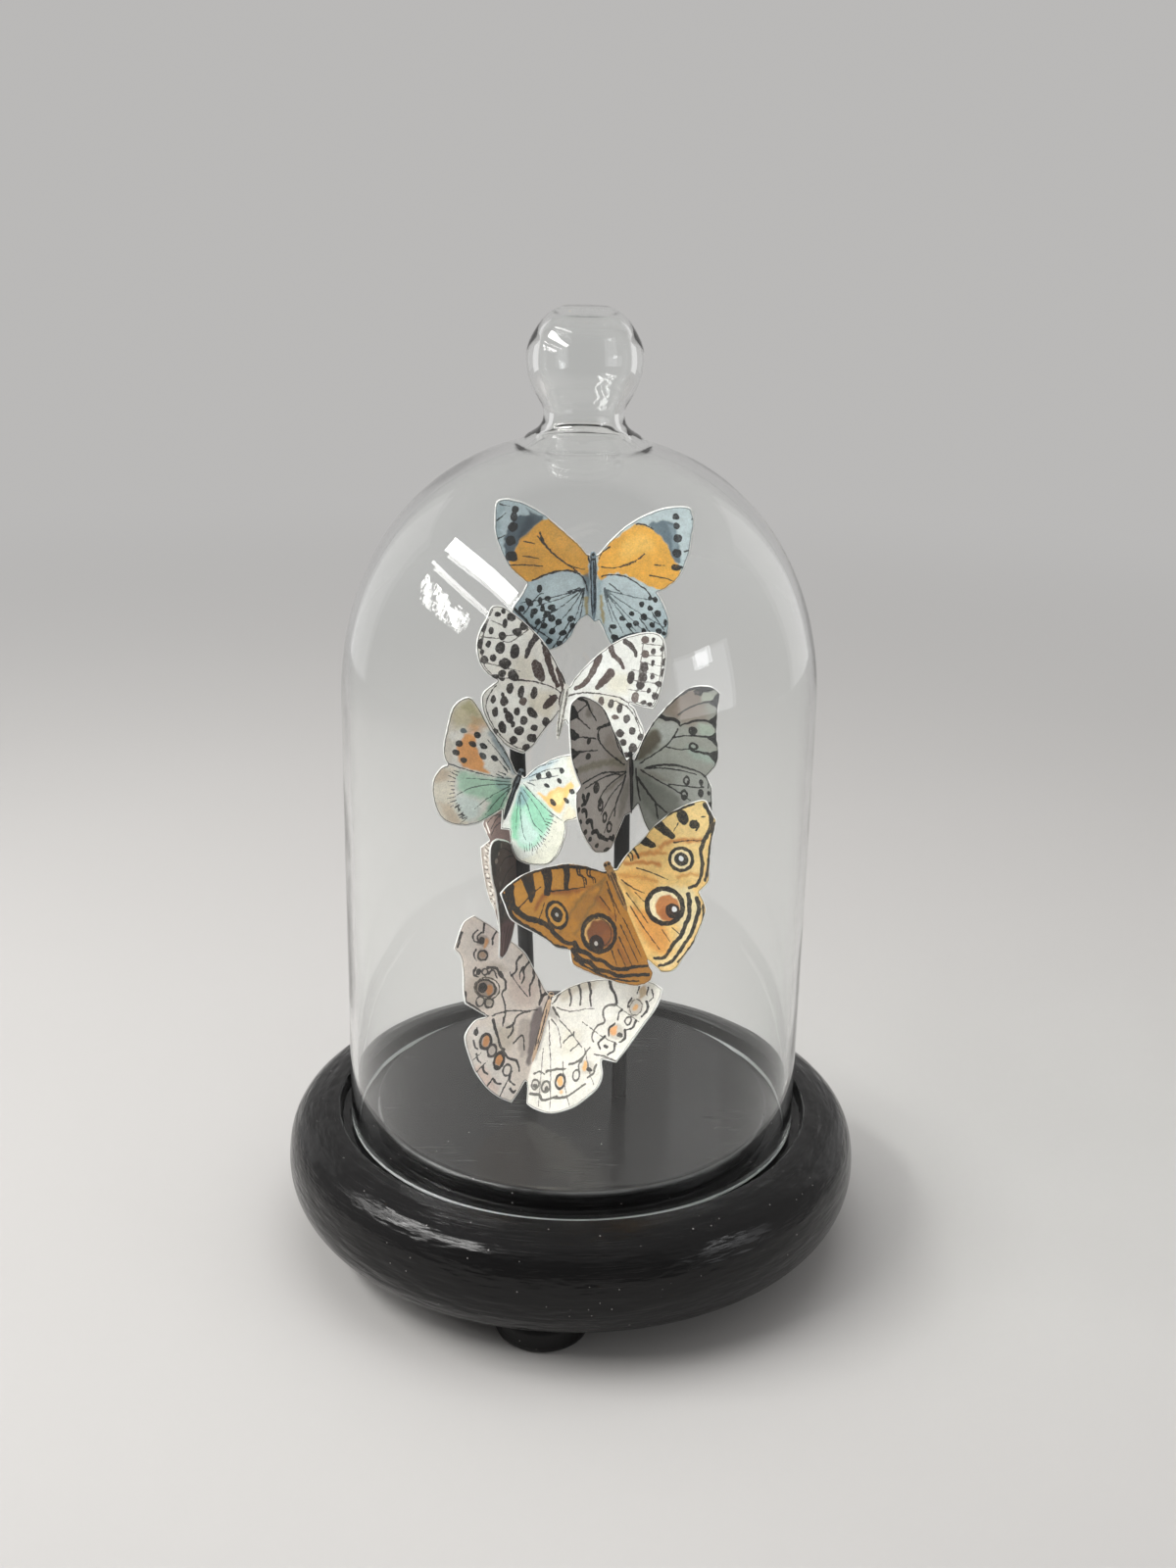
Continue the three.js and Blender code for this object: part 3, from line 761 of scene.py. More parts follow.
def paper_body(name, head, along, face, side, body, seed):
    """The narrow body in the fold: its half width follows BODY_SHAPE, its front is crowned as an ellipse
    and its back is flat. body is (half width, first, last, ground colour, marks), and first and last are
    mm along the fold.
    """
    width, first, last, ground, marks = body
    shape = curve(BODY_SHAPE, 7)
    v, w = shape[:, 1] * (last - first) + first, np.maximum(shape[:, 0], 0) * width
    v, w = v[1:-1], np.maximum(w[1:-1], 0.02)
    t = np.linspace(-np.pi / 2, np.pi / 2, 17)
    x, h = w[:, None] * np.sin(t), CROWN * w[:, None] * np.cos(t) + FRONT
    tube = head + x[..., None] * side + h[..., None] * face + (v[:, None, None] * along) + 0 * x[..., None]
    back = head + x[:, ::-1][:, 1:-1, None] * side + BACK * face + v[:, None, None] * along
    ring = np.concatenate([tube, back], 1)
    rows, cols = ring.shape[:2]
    tips = np.array([head + first * along + FRONT * face, head + last * along + FRONT * face])
    points = np.r_[ring.reshape(-1, 3), tips]
    i, j = np.arange(rows - 1)[:, None] * cols, np.arange(cols)
    k = (j + 1) % cols
    quads = np.stack([i + j, i + k, i + cols + k, i + cols + j], -1).reshape(-1, 4)
    ends = (rows - 1) * cols
    caps = [
        np.stack([0 * j + rows * cols, k, j], -1),
        np.stack([0 * j + rows * cols + 1, ends + j, ends + k], -1),
    ]
    a, b, c = points[quads[(rows // 2) * cols + cols // 4, :3]]
    if np.cross(b - a, c - a) @ face < 0:
        quads, caps = quads[:, ::-1], [q[:, ::-1] for q in caps]
    piece = built(name + "_body", points, quads, *caps)
    flat_x = np.concatenate([x, x[:, ::-1][:, 1:-1]], 1)
    p = np.r_[np.stack([flat_x.ravel(), (v[:, None] + 0 * flat_x).ravel()], -1), [[0, first], [0, last]]]
    ink, tone = laid(p, marks, 0.05, seed + 21)
    one = np.ones(len(p))
    color = tint(ground) * (1 + 0.12 * ripple(p, 1.6, seed + 22))[:, None]
    far = 9 * one
    values = (np.c_[color, one], ink, np.c_[tone, one], far, np.ones((len(p), 4)), far)
    for label, value in zip(LAYERS, values):
        painted(piece, label, value)
    return piece


def veins(code, width, root, ends, bend=0.0):
    """Thin lines from the wing's root to points near its edge, each bowed sideways by a share of its
    length.
    """
    made = []
    for end in ends:
        a, b = np.array(root, float), np.array(end, float)
        d = b - a
        middle = (a + b) / 2 + bend * np.array([-d[1], d[0]])
        made.append(("line", code, width, [a.tolist(), middle.tolist(), b.tolist()], (1, 0.6)))
    return made


def dots(code, spots, more=0):
    """Dots of one colour, each grown by more mm."""
    return [("dot", code, [*s[:2], s[2] + more, s[3] + more, *s[4:]]) for s in spots]


def strokes(code, *lines):
    """Lines of one colour from (half width, points) pairs."""
    return [("line", code, w, p) for w, p in lines]


def ticks(code, width, path, count, reach):
    """Short strokes across a path, evenly spaced, leaning a little by turns."""
    p = respaced(curve(path, 8), 0.2)
    at = np.linspace(0, len(p) - 2, count).astype(int)
    d = p[at + 1] - p[at]
    n = np.stack([d[:, 1], -d[:, 0]], -1) / np.linalg.norm(d, axis=1)[:, None]
    lean = 0.12 * np.sin(at * 2.3)[:, None] * d / np.linalg.norm(d, axis=1)[:, None]
    return [
        ("line", code, width, [a.tolist(), (a + reach * (0.7 + 0.3 * np.sin(i)) * m).tolist()])
        for i, (a, m) in enumerate(zip(p[at], n + lean))
    ]

# Butterfly 1, top: orange fore wings with slate tips and black dots, and pale blue-grey hind wings
# with three rows of dots. It hangs highest, behind the speckled one.
paper = printed_paper("paper_orange_blue_print", 0.42, 0.38, 0.1, 0.6, 0.08)
butterfly(
    "butterfly_orange_tip", paper, (2.96, 10.6, 196.95), (3.61, 14.6, 177.05),
    (0.013, -0.98, -0.197), (15, 14),
    [
        dict(
            outline=[
                [1.7, -0.5], [3.2, -2.7], [6.8, -6.7], [11.7, -11.7], [14.3, -14], [18.6, -16.8],
                [21.4, -17.9], [23.6, -18.4], [25.5, -18], [26.2, -16.7], [26.6, -13.2], [26.6, -9.1],
                [25.4, -4.2], [23.6, 0.1], [21.3, 3.3], [18.8, 5.8], [18.7, 6.5], [20.8, 10], [22.8, 12.5],
                [23.4, 16], [22.8, 20.2], [21, 23.7], [18.3, 25.8], [15.2, 26.9], [12.2, 26.9], [9.3, 25.9],
                [6.5, 23.4], [4.7, 19.7], [2.1, 17.7],
            ],
            ground="bccdd3",
            washes=[
                ("8da2ab", 3.0, 0.75, [[24, 1], [21, 9], [23, 16], [19, 24], [10, 27], [14, 19], [19, 12]]),
                ("cadade", 3.0, 0.8, [[4, 7], [13, 6], [14, 10], [8, 16], [3, 14]]),
                ("e6a943", 0.35, 1.0, [
                    [1.1, 1.5], [1.7, -0.7], [5, -4.7], [7.5, -7.5], [10, -10], [11.9, -11.6],
                    [13.6, -11.4], [15.3, -10.5], [17.1, -9], [19.1, -7.4], [20.8, -5.4], [21.8, -2.9],
                    [23.2, -0.6], [22.4, 2.2], [20.2, 5.2], [16.5, 5.3], [13, 4.1], [9, 3.5], [6, 4],
                    [4, 4.7], [2.2, 6.2], [1.4, 6],
                ]),
                ("d39a40", 2.5, 0.55, [[19, -4], [22, -1], [20, 3], [14, 3], [16, -1]]),
                ("edb558", 3.0, 0.6, [[3, -2], [8, -7], [11, -9], [11, -5], [5, 0]]),
                ("475863", 0.5, 0.96, [
                    [13.4, -12.6], [15.2, -13], [17.7, -15.2], [16.9, -13.2], [19.5, -13.6], [21.5, -12.4],
                    [22.6, -11], [23.9, -8.6], [24.3, -6], [24.1, -3.4], [23.1, -0.9], [21.8, -2.9],
                    [20.8, -5.4], [19.1, -7.4], [17.1, -9], [15.3, -10.5], [13.6, -11.4],
                ]),
                ("36454f", 1.6, 0.85, [
                    [15, -11.6], [18, -12.6], [19, -10], [20.6, -7.6], [20, -6.4], [17.4, -9],
                ]),
                ("8fa6ae", 1.0, 0.6, [
                    [24.6, -17.4], [26.2, -14], [26.3, -8], [25.2, -8], [25.2, -13], [23.6, -16],
                ]),
                ("53666f", 0.9, 0.8, [[1.2, 5.5], [3.4, 6], [2.6, 8.4], [1.9, 13], [1.2, 13]]),
                ("a89455", 0.5, 0.8, [[1.5, 12.6], [2.7, 12.4], [2.5, 17.4], [1.6, 17.2]]),
            ],
            ink=strokes(
                "2b2c30",
                (0.2, [[14.5, -8], [13.5, -5], [11.5, -2.2], [9, 0.4], [6.5, 2.6], [4.5, 4.4]]),
                (0.13, [[15.2, -7], [12.5, -3.3], [9, 0.5], [5.5, 2.9], [2.5, 4]]),
                (0.1, [[19, -6], [16, -5]]), (0.11, [[19.5, -2], [15, -0.7]]),
                (0.12, [[23.4, 0.1], [19, 0.6], [14, 1.6]]),
                (0.24, [[17, 5.4], [13, 4.1], [9, 3.6], [6, 4.1], [3.6, 5.6], [2.2, 8], [1.8, 10.4]]),
                (0.2, [[1.6, -0.4], [1.3, 1], [1, 2.4]]),
                (0.12, [[26, -12.6], [23.6, -14.4]]), (0.12, [[26.2, -7.6], [24, -8.4]]),
                (0.12, [[25, -17], [22.4, -16.2]]),
                (0.34, [[22.6, 12.8], [19.5, 16.5], [17, 21], [14, 26.4]]),
            )
            + veins(
                "3b444b", 0.1, [2.6, 9.5],
                [[20.5, 11.5], [16, 13], [14.5, 17], [11.5, 20.5], [8, 24], [5, 21.5]], 0.03,
            )
            + strokes(
                "3b444b", (0.1, [[7.5, 10], [4, 9.2]]), (0.14, [[19.8, 14.8], [15.6, 10], [14, 9.6]]),
                (0.14, [[18.6, 18], [12, 24]]), (0.14, [[14, 17.6], [16.6, 21.8]]),
                (0.14, [[7, 19], [12, 26.5]]), (0.12, [[5, 19.6], [10, 25.6]]),
                (0.12, [[11, 14.6], [17.4, 20]]),
            )
            + dots("1f2226", [
                [21, -15.2, 0.85, 1], [21.4, -13.3, 0.9, 1.3], [21.8, -10.4, 1.3, 1.25],
                [22.6, -6.7, 1.3, 1.3], [22.6, -2.4, 1.6, 1.3], [21.8, -1.6, 0.8, 0.8], [15.2, 8, 0.7, 1.1],
                [18.2, 11.6, 0.8, 1.4, 30], [20.4, 13.3, 0.85, 0.9], [13, 11.2, 0.8, 0.8],
                [15.1, 11.6, 0.6, 1], [16.9, 14.5, 0.9, 0.95], [14.5, 14, 0.7, 0.95], [12, 14, 1, 0.8],
                [13.4, 15.8, 1, 0.95], [12, 17.3, 0.95, 0.95], [10.1, 18.7, 0.85, 0.9],
                [14.3, 19.2, 0.85, 0.95], [16, 17.8, 0.75, 0.85], [6.7, 18.1, 0.85, 0.85],
                [6.2, 20.3, 0.8, 0.85], [12, 21.3, 0.85, 0.9], [9, 22.2, 1.1, 0.75], [13, 24.1, 0.85, 0.9],
                [10, 25.3, 0.85, 0.8], [17.5, 15.6, 0.6, 0.8],
            ]),
        ),
        dict(
            outline=[
                [1.6, -0.4], [4.4, -4], [8.9, -8.6], [13.3, -11.8], [17.7, -14], [20.9, -15], [24.3, -15.4],
                [26.2, -15.2], [27, -14.3], [27.7, -11.7], [27.4, -7.6], [26.4, -1.7], [24.1, 4.2],
                [20.9, 7.8], [17.8, 9.5], [19.5, 12.2], [20.8, 15.4], [21.4, 18.9], [20.6, 22.8],
                [18, 25.2], [14.1, 27], [9.7, 27.6], [6.9, 27.4], [4.9, 26.7], [2.8, 22.6], [1.4, 19.7],
            ],
            ground="c3d2d6",
            washes=[
                ("a9bcc4", 2.5, 0.6, [[21, 12], [22, 19], [18, 26], [8, 28], [14, 21], [18, 16]]),
                ("8fa7b1", 1.2, 0.7, [[1.3, 6.5], [3, 6], [2.2, 9], [2, 12.5], [1.2, 12.5]]),
                ("eeb146", 0.35, 1.0, [
                    [1.4, 1.2], [2.7, -1.2], [5.7, -4.5], [8.7, -7.2], [12, -9.6], [14.3, -9.6],
                    [16.8, -8.3], [18.8, -6.5], [20.6, -4.4], [21.6, -2], [22.8, 0], [24.3, 2.4],
                    [22.7, 5.8], [20.2, 8.3], [17.7, 8.4], [15.2, 7.6], [12.7, 6.4], [9.7, 5.4], [6.7, 4.9],
                    [4.2, 5.5], [2, 7.2], [1.3, 5],
                ]),
                ("f7cc6e", 3.0, 0.6, [[8, -4], [14, -7], [17, -3], [12, -1], [8, 1]]),
                ("e0a23e", 1.6, 0.55, [[1.5, 1], [5.5, -4], [8, -6.5], [9.5, -6], [5.5, -1], [3, 3]]),
                ("d89437", 1.4, 0.35, [[2, 6.6], [4, 5.2], [8, 4.8], [8, 3.8], [3, 3.6]]),
                ("566b77", 0.5, 0.92, [
                    [15.2, -9.7], [17.7, -10.8], [20.2, -11.2], [22.1, -10.6], [22.9, -8], [23.7, -5],
                    [24.2, -2.4], [23.8, 0.4], [22.6, -0.2], [21.5, -2], [20.6, -4.4], [18.8, -6.5],
                    [16.8, -8.3],
                ]),
                ("95a9b3", 0.8, 0.6, [
                    [20.5, -10.4], [22.6, -9.4], [23.6, -5.6], [23, -1.4], [22, -3], [21.8, -7],
                ]),
                ("a8924f", 0.4, 0.8, [[1.8, 12], [2.5, 12], [3, 17.5], [2.8, 20.5], [2.1, 18]]),
            ],
            ink=strokes(
                "2f3135",
                (0.12, [[14.4, -1.5], [12.7, 0.2], [9.7, 1.8], [6.2, 3.3], [2.3, 3.4]]),
                (0.1, [[13.7, -0.9], [11, 1.6], [7.6, 3]]),
                (0.15, [[4.7, -2.7], [2.7, -0.9], [1.6, 1]]), (0.11, [[17.2, 1.5], [20, 1.4]]),
                (0.13, [[15.7, 4.7], [19.7, 5.1], [22.9, 5.9]]),
                (0.18, [[2.4, 6.2], [4.4, 5.5], [8.7, 5.5], [12.2, 7.3], [14.7, 9], [16.2, 11]]),
                (0.14, [[26.9, -12.1], [27.8, -12.5]]), (0.14, [[27.2, -7.2], [27.8, -8.2]]),
                (0.16, [[25.2, -3.1], [26.8, -3.5]]), (0.12, [[25.5, 2], [24.6, 3.2]]),
                (0.2, [[12, -9.7], [14.3, -9.7], [16.6, -8.6]]),
            )
            + veins(
                "7d8e96", 0.09, [2.9, 9.8],
                [[16, 12], [19.8, 19.6], [15.6, 22.6], [12, 21.6], [8.3, 22.4], [5.4, 19.4], [8.2, 11]],
                0.02,
            )
            + strokes(
                "4c565c", (0.11, [[3.2, 9.4], [4.4, 14]]), (0.11, [[4.6, 8], [8.2, 10.8]]),
                (0.12, [[16.5, 15.6], [19.8, 20.4]]), (0.1, [[13, 17.6], [16.3, 22]]),
                (0.1, [[4.4, 21.4], [5.6, 25.4]]), (0.1, [[9.6, 20.4], [11.4, 22.4]]),
                (0.24, [[5.6, 25.6], [9, 23.4], [13, 22.1], [18.5, 22]]),
            )
            + dots("24272b", [
                [22.7, -12.5, 0.8, 0.8], [22.9, -10, 0.75, 0.8], [23.4, -6.6, 1.15, 1.05],
                [23.2, -2.4, 1.2, 1.2], [23.1, 1.7, 1.3, 0.9], [24.4, 1.5, 0.4, 0.35], [16, 11.5, 0.6, 0.6],
                [17.3, 11.7, 0.6, 0.85], [13.6, 13.4, 0.65, 0.75], [15.9, 14.3, 0.7, 0.75],
                [18.1, 15.8, 0.85, 0.9], [10.8, 16.5, 0.65, 0.6], [14.2, 17.1, 0.85, 0.95],
                [8.1, 18.2, 0.85, 0.65], [12, 19.2, 0.85, 0.75], [10, 20, 0.75, 0.8],
                [16.6, 19.3, 0.65, 0.7], [5.6, 20.9, 0.9, 0.65], [5.9, 24.1, 1.1, 0.8],
                [18.4, 21, 0.75, 0.8], [20.3, 18.3, 0.4, 1.1], [14.2, 21.2, 0.65, 0.65],
                [19.8, 21.6, 0.5, 0.6], [13, 24.6, 0.8, 0.8], [9.6, 25.6, 0.8, 0.7],
            ]),
        ),
    ],
    body=(
        1.15, -0.9, 19.6, "7d8f9a",
        strokes(
            "2e3740", (0.16, [[-0.62, 0.5], [-0.66, 9], [-0.4, 18]]),
            (0.12, [[0.1, 2], [0.15, 10], [0.05, 17]]), (0.1, [[0.6, 1], [0.62, 8], [0.4, 16]]),
        )
        + dots("23282d", [[0, -0.2, 0.4, 0.4], [0, 1.2, 0.5, 0.3]]),
    ),
    bow=(0.5, 0.5), seed=11,
)

# Butterfly 2: off-white wings with dark brown oval spots, long stripes from the root and a chequered
# margin. It hangs in front of the first and the third.
paper = printed_paper("paper_speckled_print", 0.34, 0.36, 0.12, 0.85, 0.07)
butterfly(
    "butterfly_speckled", paper, (-3.61, 8.6, 160.34), (-5.54, 5.6, 147.65),
    (0.008, -0.973, 0.229), (20, 21),
    [
        dict(
            outline=[
                [0.6, -1.6], [3.6, -5.5], [8.6, -11], [13.2, -14.3], [18.3, -17.3], [21.6, -18.6],
                [23.5, -18.7], [25.1, -17.8], [25.9, -14.7], [27.3, -11], [27.4, -6.7], [25.9, -2.7],
                [23.5, -0.1], [20.1, 1.6], [22, 3.5], [23.7, 5.9], [23, 9.8], [20.5, 13.8], [16.8, 17.4],
                [13, 19.6], [9.1, 20.4], [6.7, 17.9], [4.3, 13.5], [1.8, 9.3], [0.8, 7.2],
            ],
            ground="dddad3",
            washes=[
                ("e8e7e2", 2.5, 0.7, [[16, -16], [24, -18], [27, -10], [22, -6], [15, -10]]),
                ("cfc8b9", 3.0, 0.7, [[11, -6], [16, -6], [15, 0], [10, 0.5]]),
                ("d4ccba", 2.5, 0.8, [[3, 2], [10, 3.5], [9, 8], [3, 9]]),
                ("ebeae5", 2.5, 0.7, [[12, 4], [21, 5], [20, 12], [12, 18], [9, 12]]),
            ],
            ink=strokes(
                "39302d",
                (0.3, [[9.2, -10.7], [6, -8], [4, -5.6], [1.8, -2.6], [0.4, -0.5]]),
            )
            + strokes(
                "57433e",
                (0.95, [[7.9, -9.4], [7, -7], [5.5, -4], [4, -1.5], [2.6, 0.4]]),
                (0.6, [[3.4, -4.2], [1.9, -1], [0.8, 1.4], [0.6, 6]]),
            )
            + [
                ("dot", "55413c", [8.85, -2.9, 1.5, 3.3, 34]), ("dot", "5a4742", [4, 5.1, 1.1, 2.6, -38]),
                ("dot", "5a4844", [0.9, 3.4, 0.6, 2.6]),
            ]
            + strokes(
                "44393a", (0.95, [[10.7, -12.8], [11.7, -10.8], [12.7, -8.3], [13, -6.2]]),
                (0.14, [[14, 0.5], [10, 0.2], [6.5, 0.5], [3, 1.3], [1, 2.6]]),
                (0.12, [[18.2, 0.4], [12.5, 0.2]]), (0.12, [[2, 3.7], [4.5, 3.4]]),
            )
            + strokes(
                "8b8680", (0.1, [[13.6, -13.6], [18, -9.6], [20, -9.4]]),
                (0.1, [[24.6, -14.4], [21, -13.6]]), (0.1, [[26.6, -9.6], [20, -10]]),
                (0.1, [[25.6, -3], [14, -2]]), (0.1, [[15, -12], [19.6, -11]]),
                (0.12, [[24.6, -17.4], [26, -10], [25, -3], [21, 0.6]]),
            )
            + dots(
                "3a3331",
                [
                    [16.7, -12.5, 1.2, 0.9], [15, -14.4, 1.1, 0.9, 30], [16.5, -7.2, 1.15, 1.8],
                    [18.7, -3.5, 1.5, 1.3], [15.8, -0.5, 1.6, 1.1, -35], [19, -0.7, 0.9, 0.75],
                    [20.7, -7.5, 1.1, 1.5], [20.7, -10.8, 0.85, 0.95], [20.5, -14.2, 0.55, 1.1],
                    [19, -16.2, 1.05, 0.9], [22.3, -4.5, 0.8, 0.75], [24.2, -8, 0.55, 0.8],
                    [24, -11.7, 0.5, 0.85], [26.5, -7.7, 0.65, 1.15], [24.6, -3.6, 1, 0.9],
                    [26.4, -12.2, 0.6, 0.95], [23, -16.3, 0.7, 0.45], [21.5, -17.4, 0.45, 0.45],
                    [25.6, -5.6, 0.45, 0.6], [20.8, 0.4, 0.9, 0.4], [18.8, 0.9, 0.5, 0.3],
                ],
                0.15,
            )
            + dots(
                "403836",
                [
                    [16.1, 3, 0.9, 1.3], [12.7, 3.5, 0.75, 1.6], [9, 3.3, 0.8, 1.55], [17.2, 6.7, 1, 1.15],
                    [20.3, 6.7, 0.55, 1.05], [17.9, 5, 0.3, 0.4], [19.2, 10, 0.7, 1.15],
                    [16.5, 9.2, 0.4, 0.55], [15, 11, 0.95, 1.5, 30], [13, 9, 0.75, 0.9],
                    [8.6, 8.8, 0.9, 1.7, 52], [10.7, 11.2, 0.9, 1.05], [13.6, 12.7, 0.4, 0.7],
                    [16.5, 14, 0.95, 1.5, 30], [11.5, 14.2, 1.25, 1.05], [7.3, 12.8, 0.9, 0.65],
                    [12.7, 17, 1, 0.85], [7.5, 15.7, 1.25, 1], [8.7, 18.5, 0.85, 0.85],
                    [4.2, 10.7, 0.9, 1.05], [18.4, 15.4, 0.75, 0.55],
                ],
                0.15,
            )
            + dots("7b6a63", [[11.7, 6, 0.9, 0.9]], 0.15)
            + strokes(
                "55504c",
                (0.11, [
                    [20.2, 2.9], [21.6, 5.4], [22.1, 8.4], [21.2, 11], [19, 14], [15.6, 17], [12, 18.7],
                    [8, 19.4],
                ]),
                (0.1, [[5, 14.5], [2.6, 9.6]]),
            ),
        ),
        dict(
            outline=[
                [0.9, 0.1], [3.1, -4.1], [7.3, -9.7], [11.3, -13.6], [15.4, -16.4], [20.4, -18.3],
                [24.1, -18.3], [26.2, -16.2], [27.4, -11.1], [27.5, -4.4], [26.9, 0], [26.2, 2], [22.7, 2],
                [19, 1.6], [20.8, 2.7], [22, 4.4], [24.6, 8.2], [24.8, 10.9], [23.1, 15.3], [21.3, 16.7],
                [16.9, 17.8], [11.2, 16.9], [6.7, 14.7], [3.6, 12], [1.4, 9.6],
            ],
            ground="d6d6d2",
            washes=[
                ("cfc9b4", 3.0, 0.6, [[12, -5.5], [18, -6], [18, -1], [12, -1]]),
                ("cdc8b8", 3.0, 0.6, [[8, 0.4], [16, 0.5], [16, 4], [9, 4]]),
                ("dfe0de", 2.0, 0.6, [[6, -12], [10, -13], [13, -9], [8, -2], [4, -2]]),
            ],
            ink=strokes(
                "685652",
                (0.95, [[8.2, -9.6], [7.4, -6.5], [6.4, -3.6], [5.1, -1.4], [2.9, 0.3]]),
                (1.3, [[12.2, -5.5], [10.8, -3.4], [9.2, -1.1]]),
                (0.8, [[11, -12.6], [12.2, -10.6], [14.2, -9.4], [15.6, -7.6]]),
            )
            + strokes(
                "4c403d", (0.8, [[15, -14.7], [16.7, -14], [17.9, -12.9], [18.6, -11.6]]),
                (0.14, [[1, 2.8], [3.6, 1.6], [7, 0.8], [12, 0.5], [17, 0.9], [20.6, 3], [23, 6.6]]),
                (0.12, [[15, 1.6], [19.4, 3.2], [22.4, 6.6], [23.6, 9]]), (0.12, [[1.6, -1], [5.4, -7.4]]),
            )
            + strokes(
                "97938d", (0.09, [[20, -17], [20.4, -8], [20.9, 1.6]]), (0.09, [[19.6, -15], [26, -15.4]]),
                (0.09, [[19.8, -12], [26.3, -12.6]]), (0.09, [[20, -10], [26.6, -9.8]]),
                (0.09, [[18, -7.6], [26.6, -7.2]]), (0.09, [[18, -4.7], [26.5, -5]]),
                (0.09, [[18, -2], [26.4, -2.5]]),
                (0.13, [[25.6, -15.9], [26.3, -10], [26.5, -5], [26, 0.4]]), (0.1, [[20.6, 1], [26, 1.2]]),
            )
            + dots(
                "4a403e",
                [
                    [21.6, -8.7, 0.95, 1.25], [18.2, -5.4, 0.85, 1.6], [21.7, -6.1, 1.05, 1.15],
                    [21.3, -3.7, 1.1, 0.95], [23.3, -13.5, 0.5, 0.7], [22.8, -16.5, 0.3, 0.5],
                    [23.8, -10.2, 0.35, 0.65], [24.3, -6.7, 0.4, 0.65], [24, -2.7, 0.4, 0.65],
                    [23.1, 0.7, 0.6, 0.45], [26.9, -11.1, 0.5, 0.8], [27, -8.2, 0.45, 0.9],
                    [26.4, -5, 0.85, 0.5], [26.1, -1.5, 0.9, 0.75], [25.7, -14.6, 0.4, 0.6],
                    [25, 0.9, 0.6, 0.4],
                ],
                0.15,
            )
            + dots(
                "7a6a64",
                [
                    [20.4, -16.2, 0.9, 0.85], [21.2, -12.4, 0.95, 0.85], [20.5, -0.2, 0.95, 1.3],
                    [10.8, 2.5, 0.65, 1.2], [15.7, 6.1, 0.9, 0.45],
                ],
                0.15,
            )
            + dots(
                "4b4240",
                [
                    [13.8, 2.7, 0.65, 1], [16.5, 3.5, 0.7, 1.1], [19, 6, 0.85, 0.95], [21.2, 9, 0.8, 0.85],
                    [17.9, 10.2, 1, 0.9], [19.2, 12.5, 0.9, 0.75], [22.2, 13.5, 0.95, 1.15],
                    [23.9, 10.2, 0.75, 0.65], [20.7, 15.7, 0.7, 0.55], [7, 4.4, 0.9, 1.2],
                    [11, 8.6, 0.9, 1], [6, 9, 0.9, 1], [12.4, 12.6, 0.9, 1.2], [9, 12.4, 0.8, 0.9],
                    [15, 13.6, 0.9, 1],
                ],
                0.15,
            ),
        ),
    ],
    body=(
        1.2, -0.5, 15.2, "d3d1cb",
        strokes(
            "77716b", (0.11, [[-0.5, 1], [-0.6, 7], [-0.2, 14]]), (0.1, [[0.45, 1], [0.5, 7], [0.2, 14]])
        ),
    ),
    bow=(0.45, 0.5), seed=23,
)

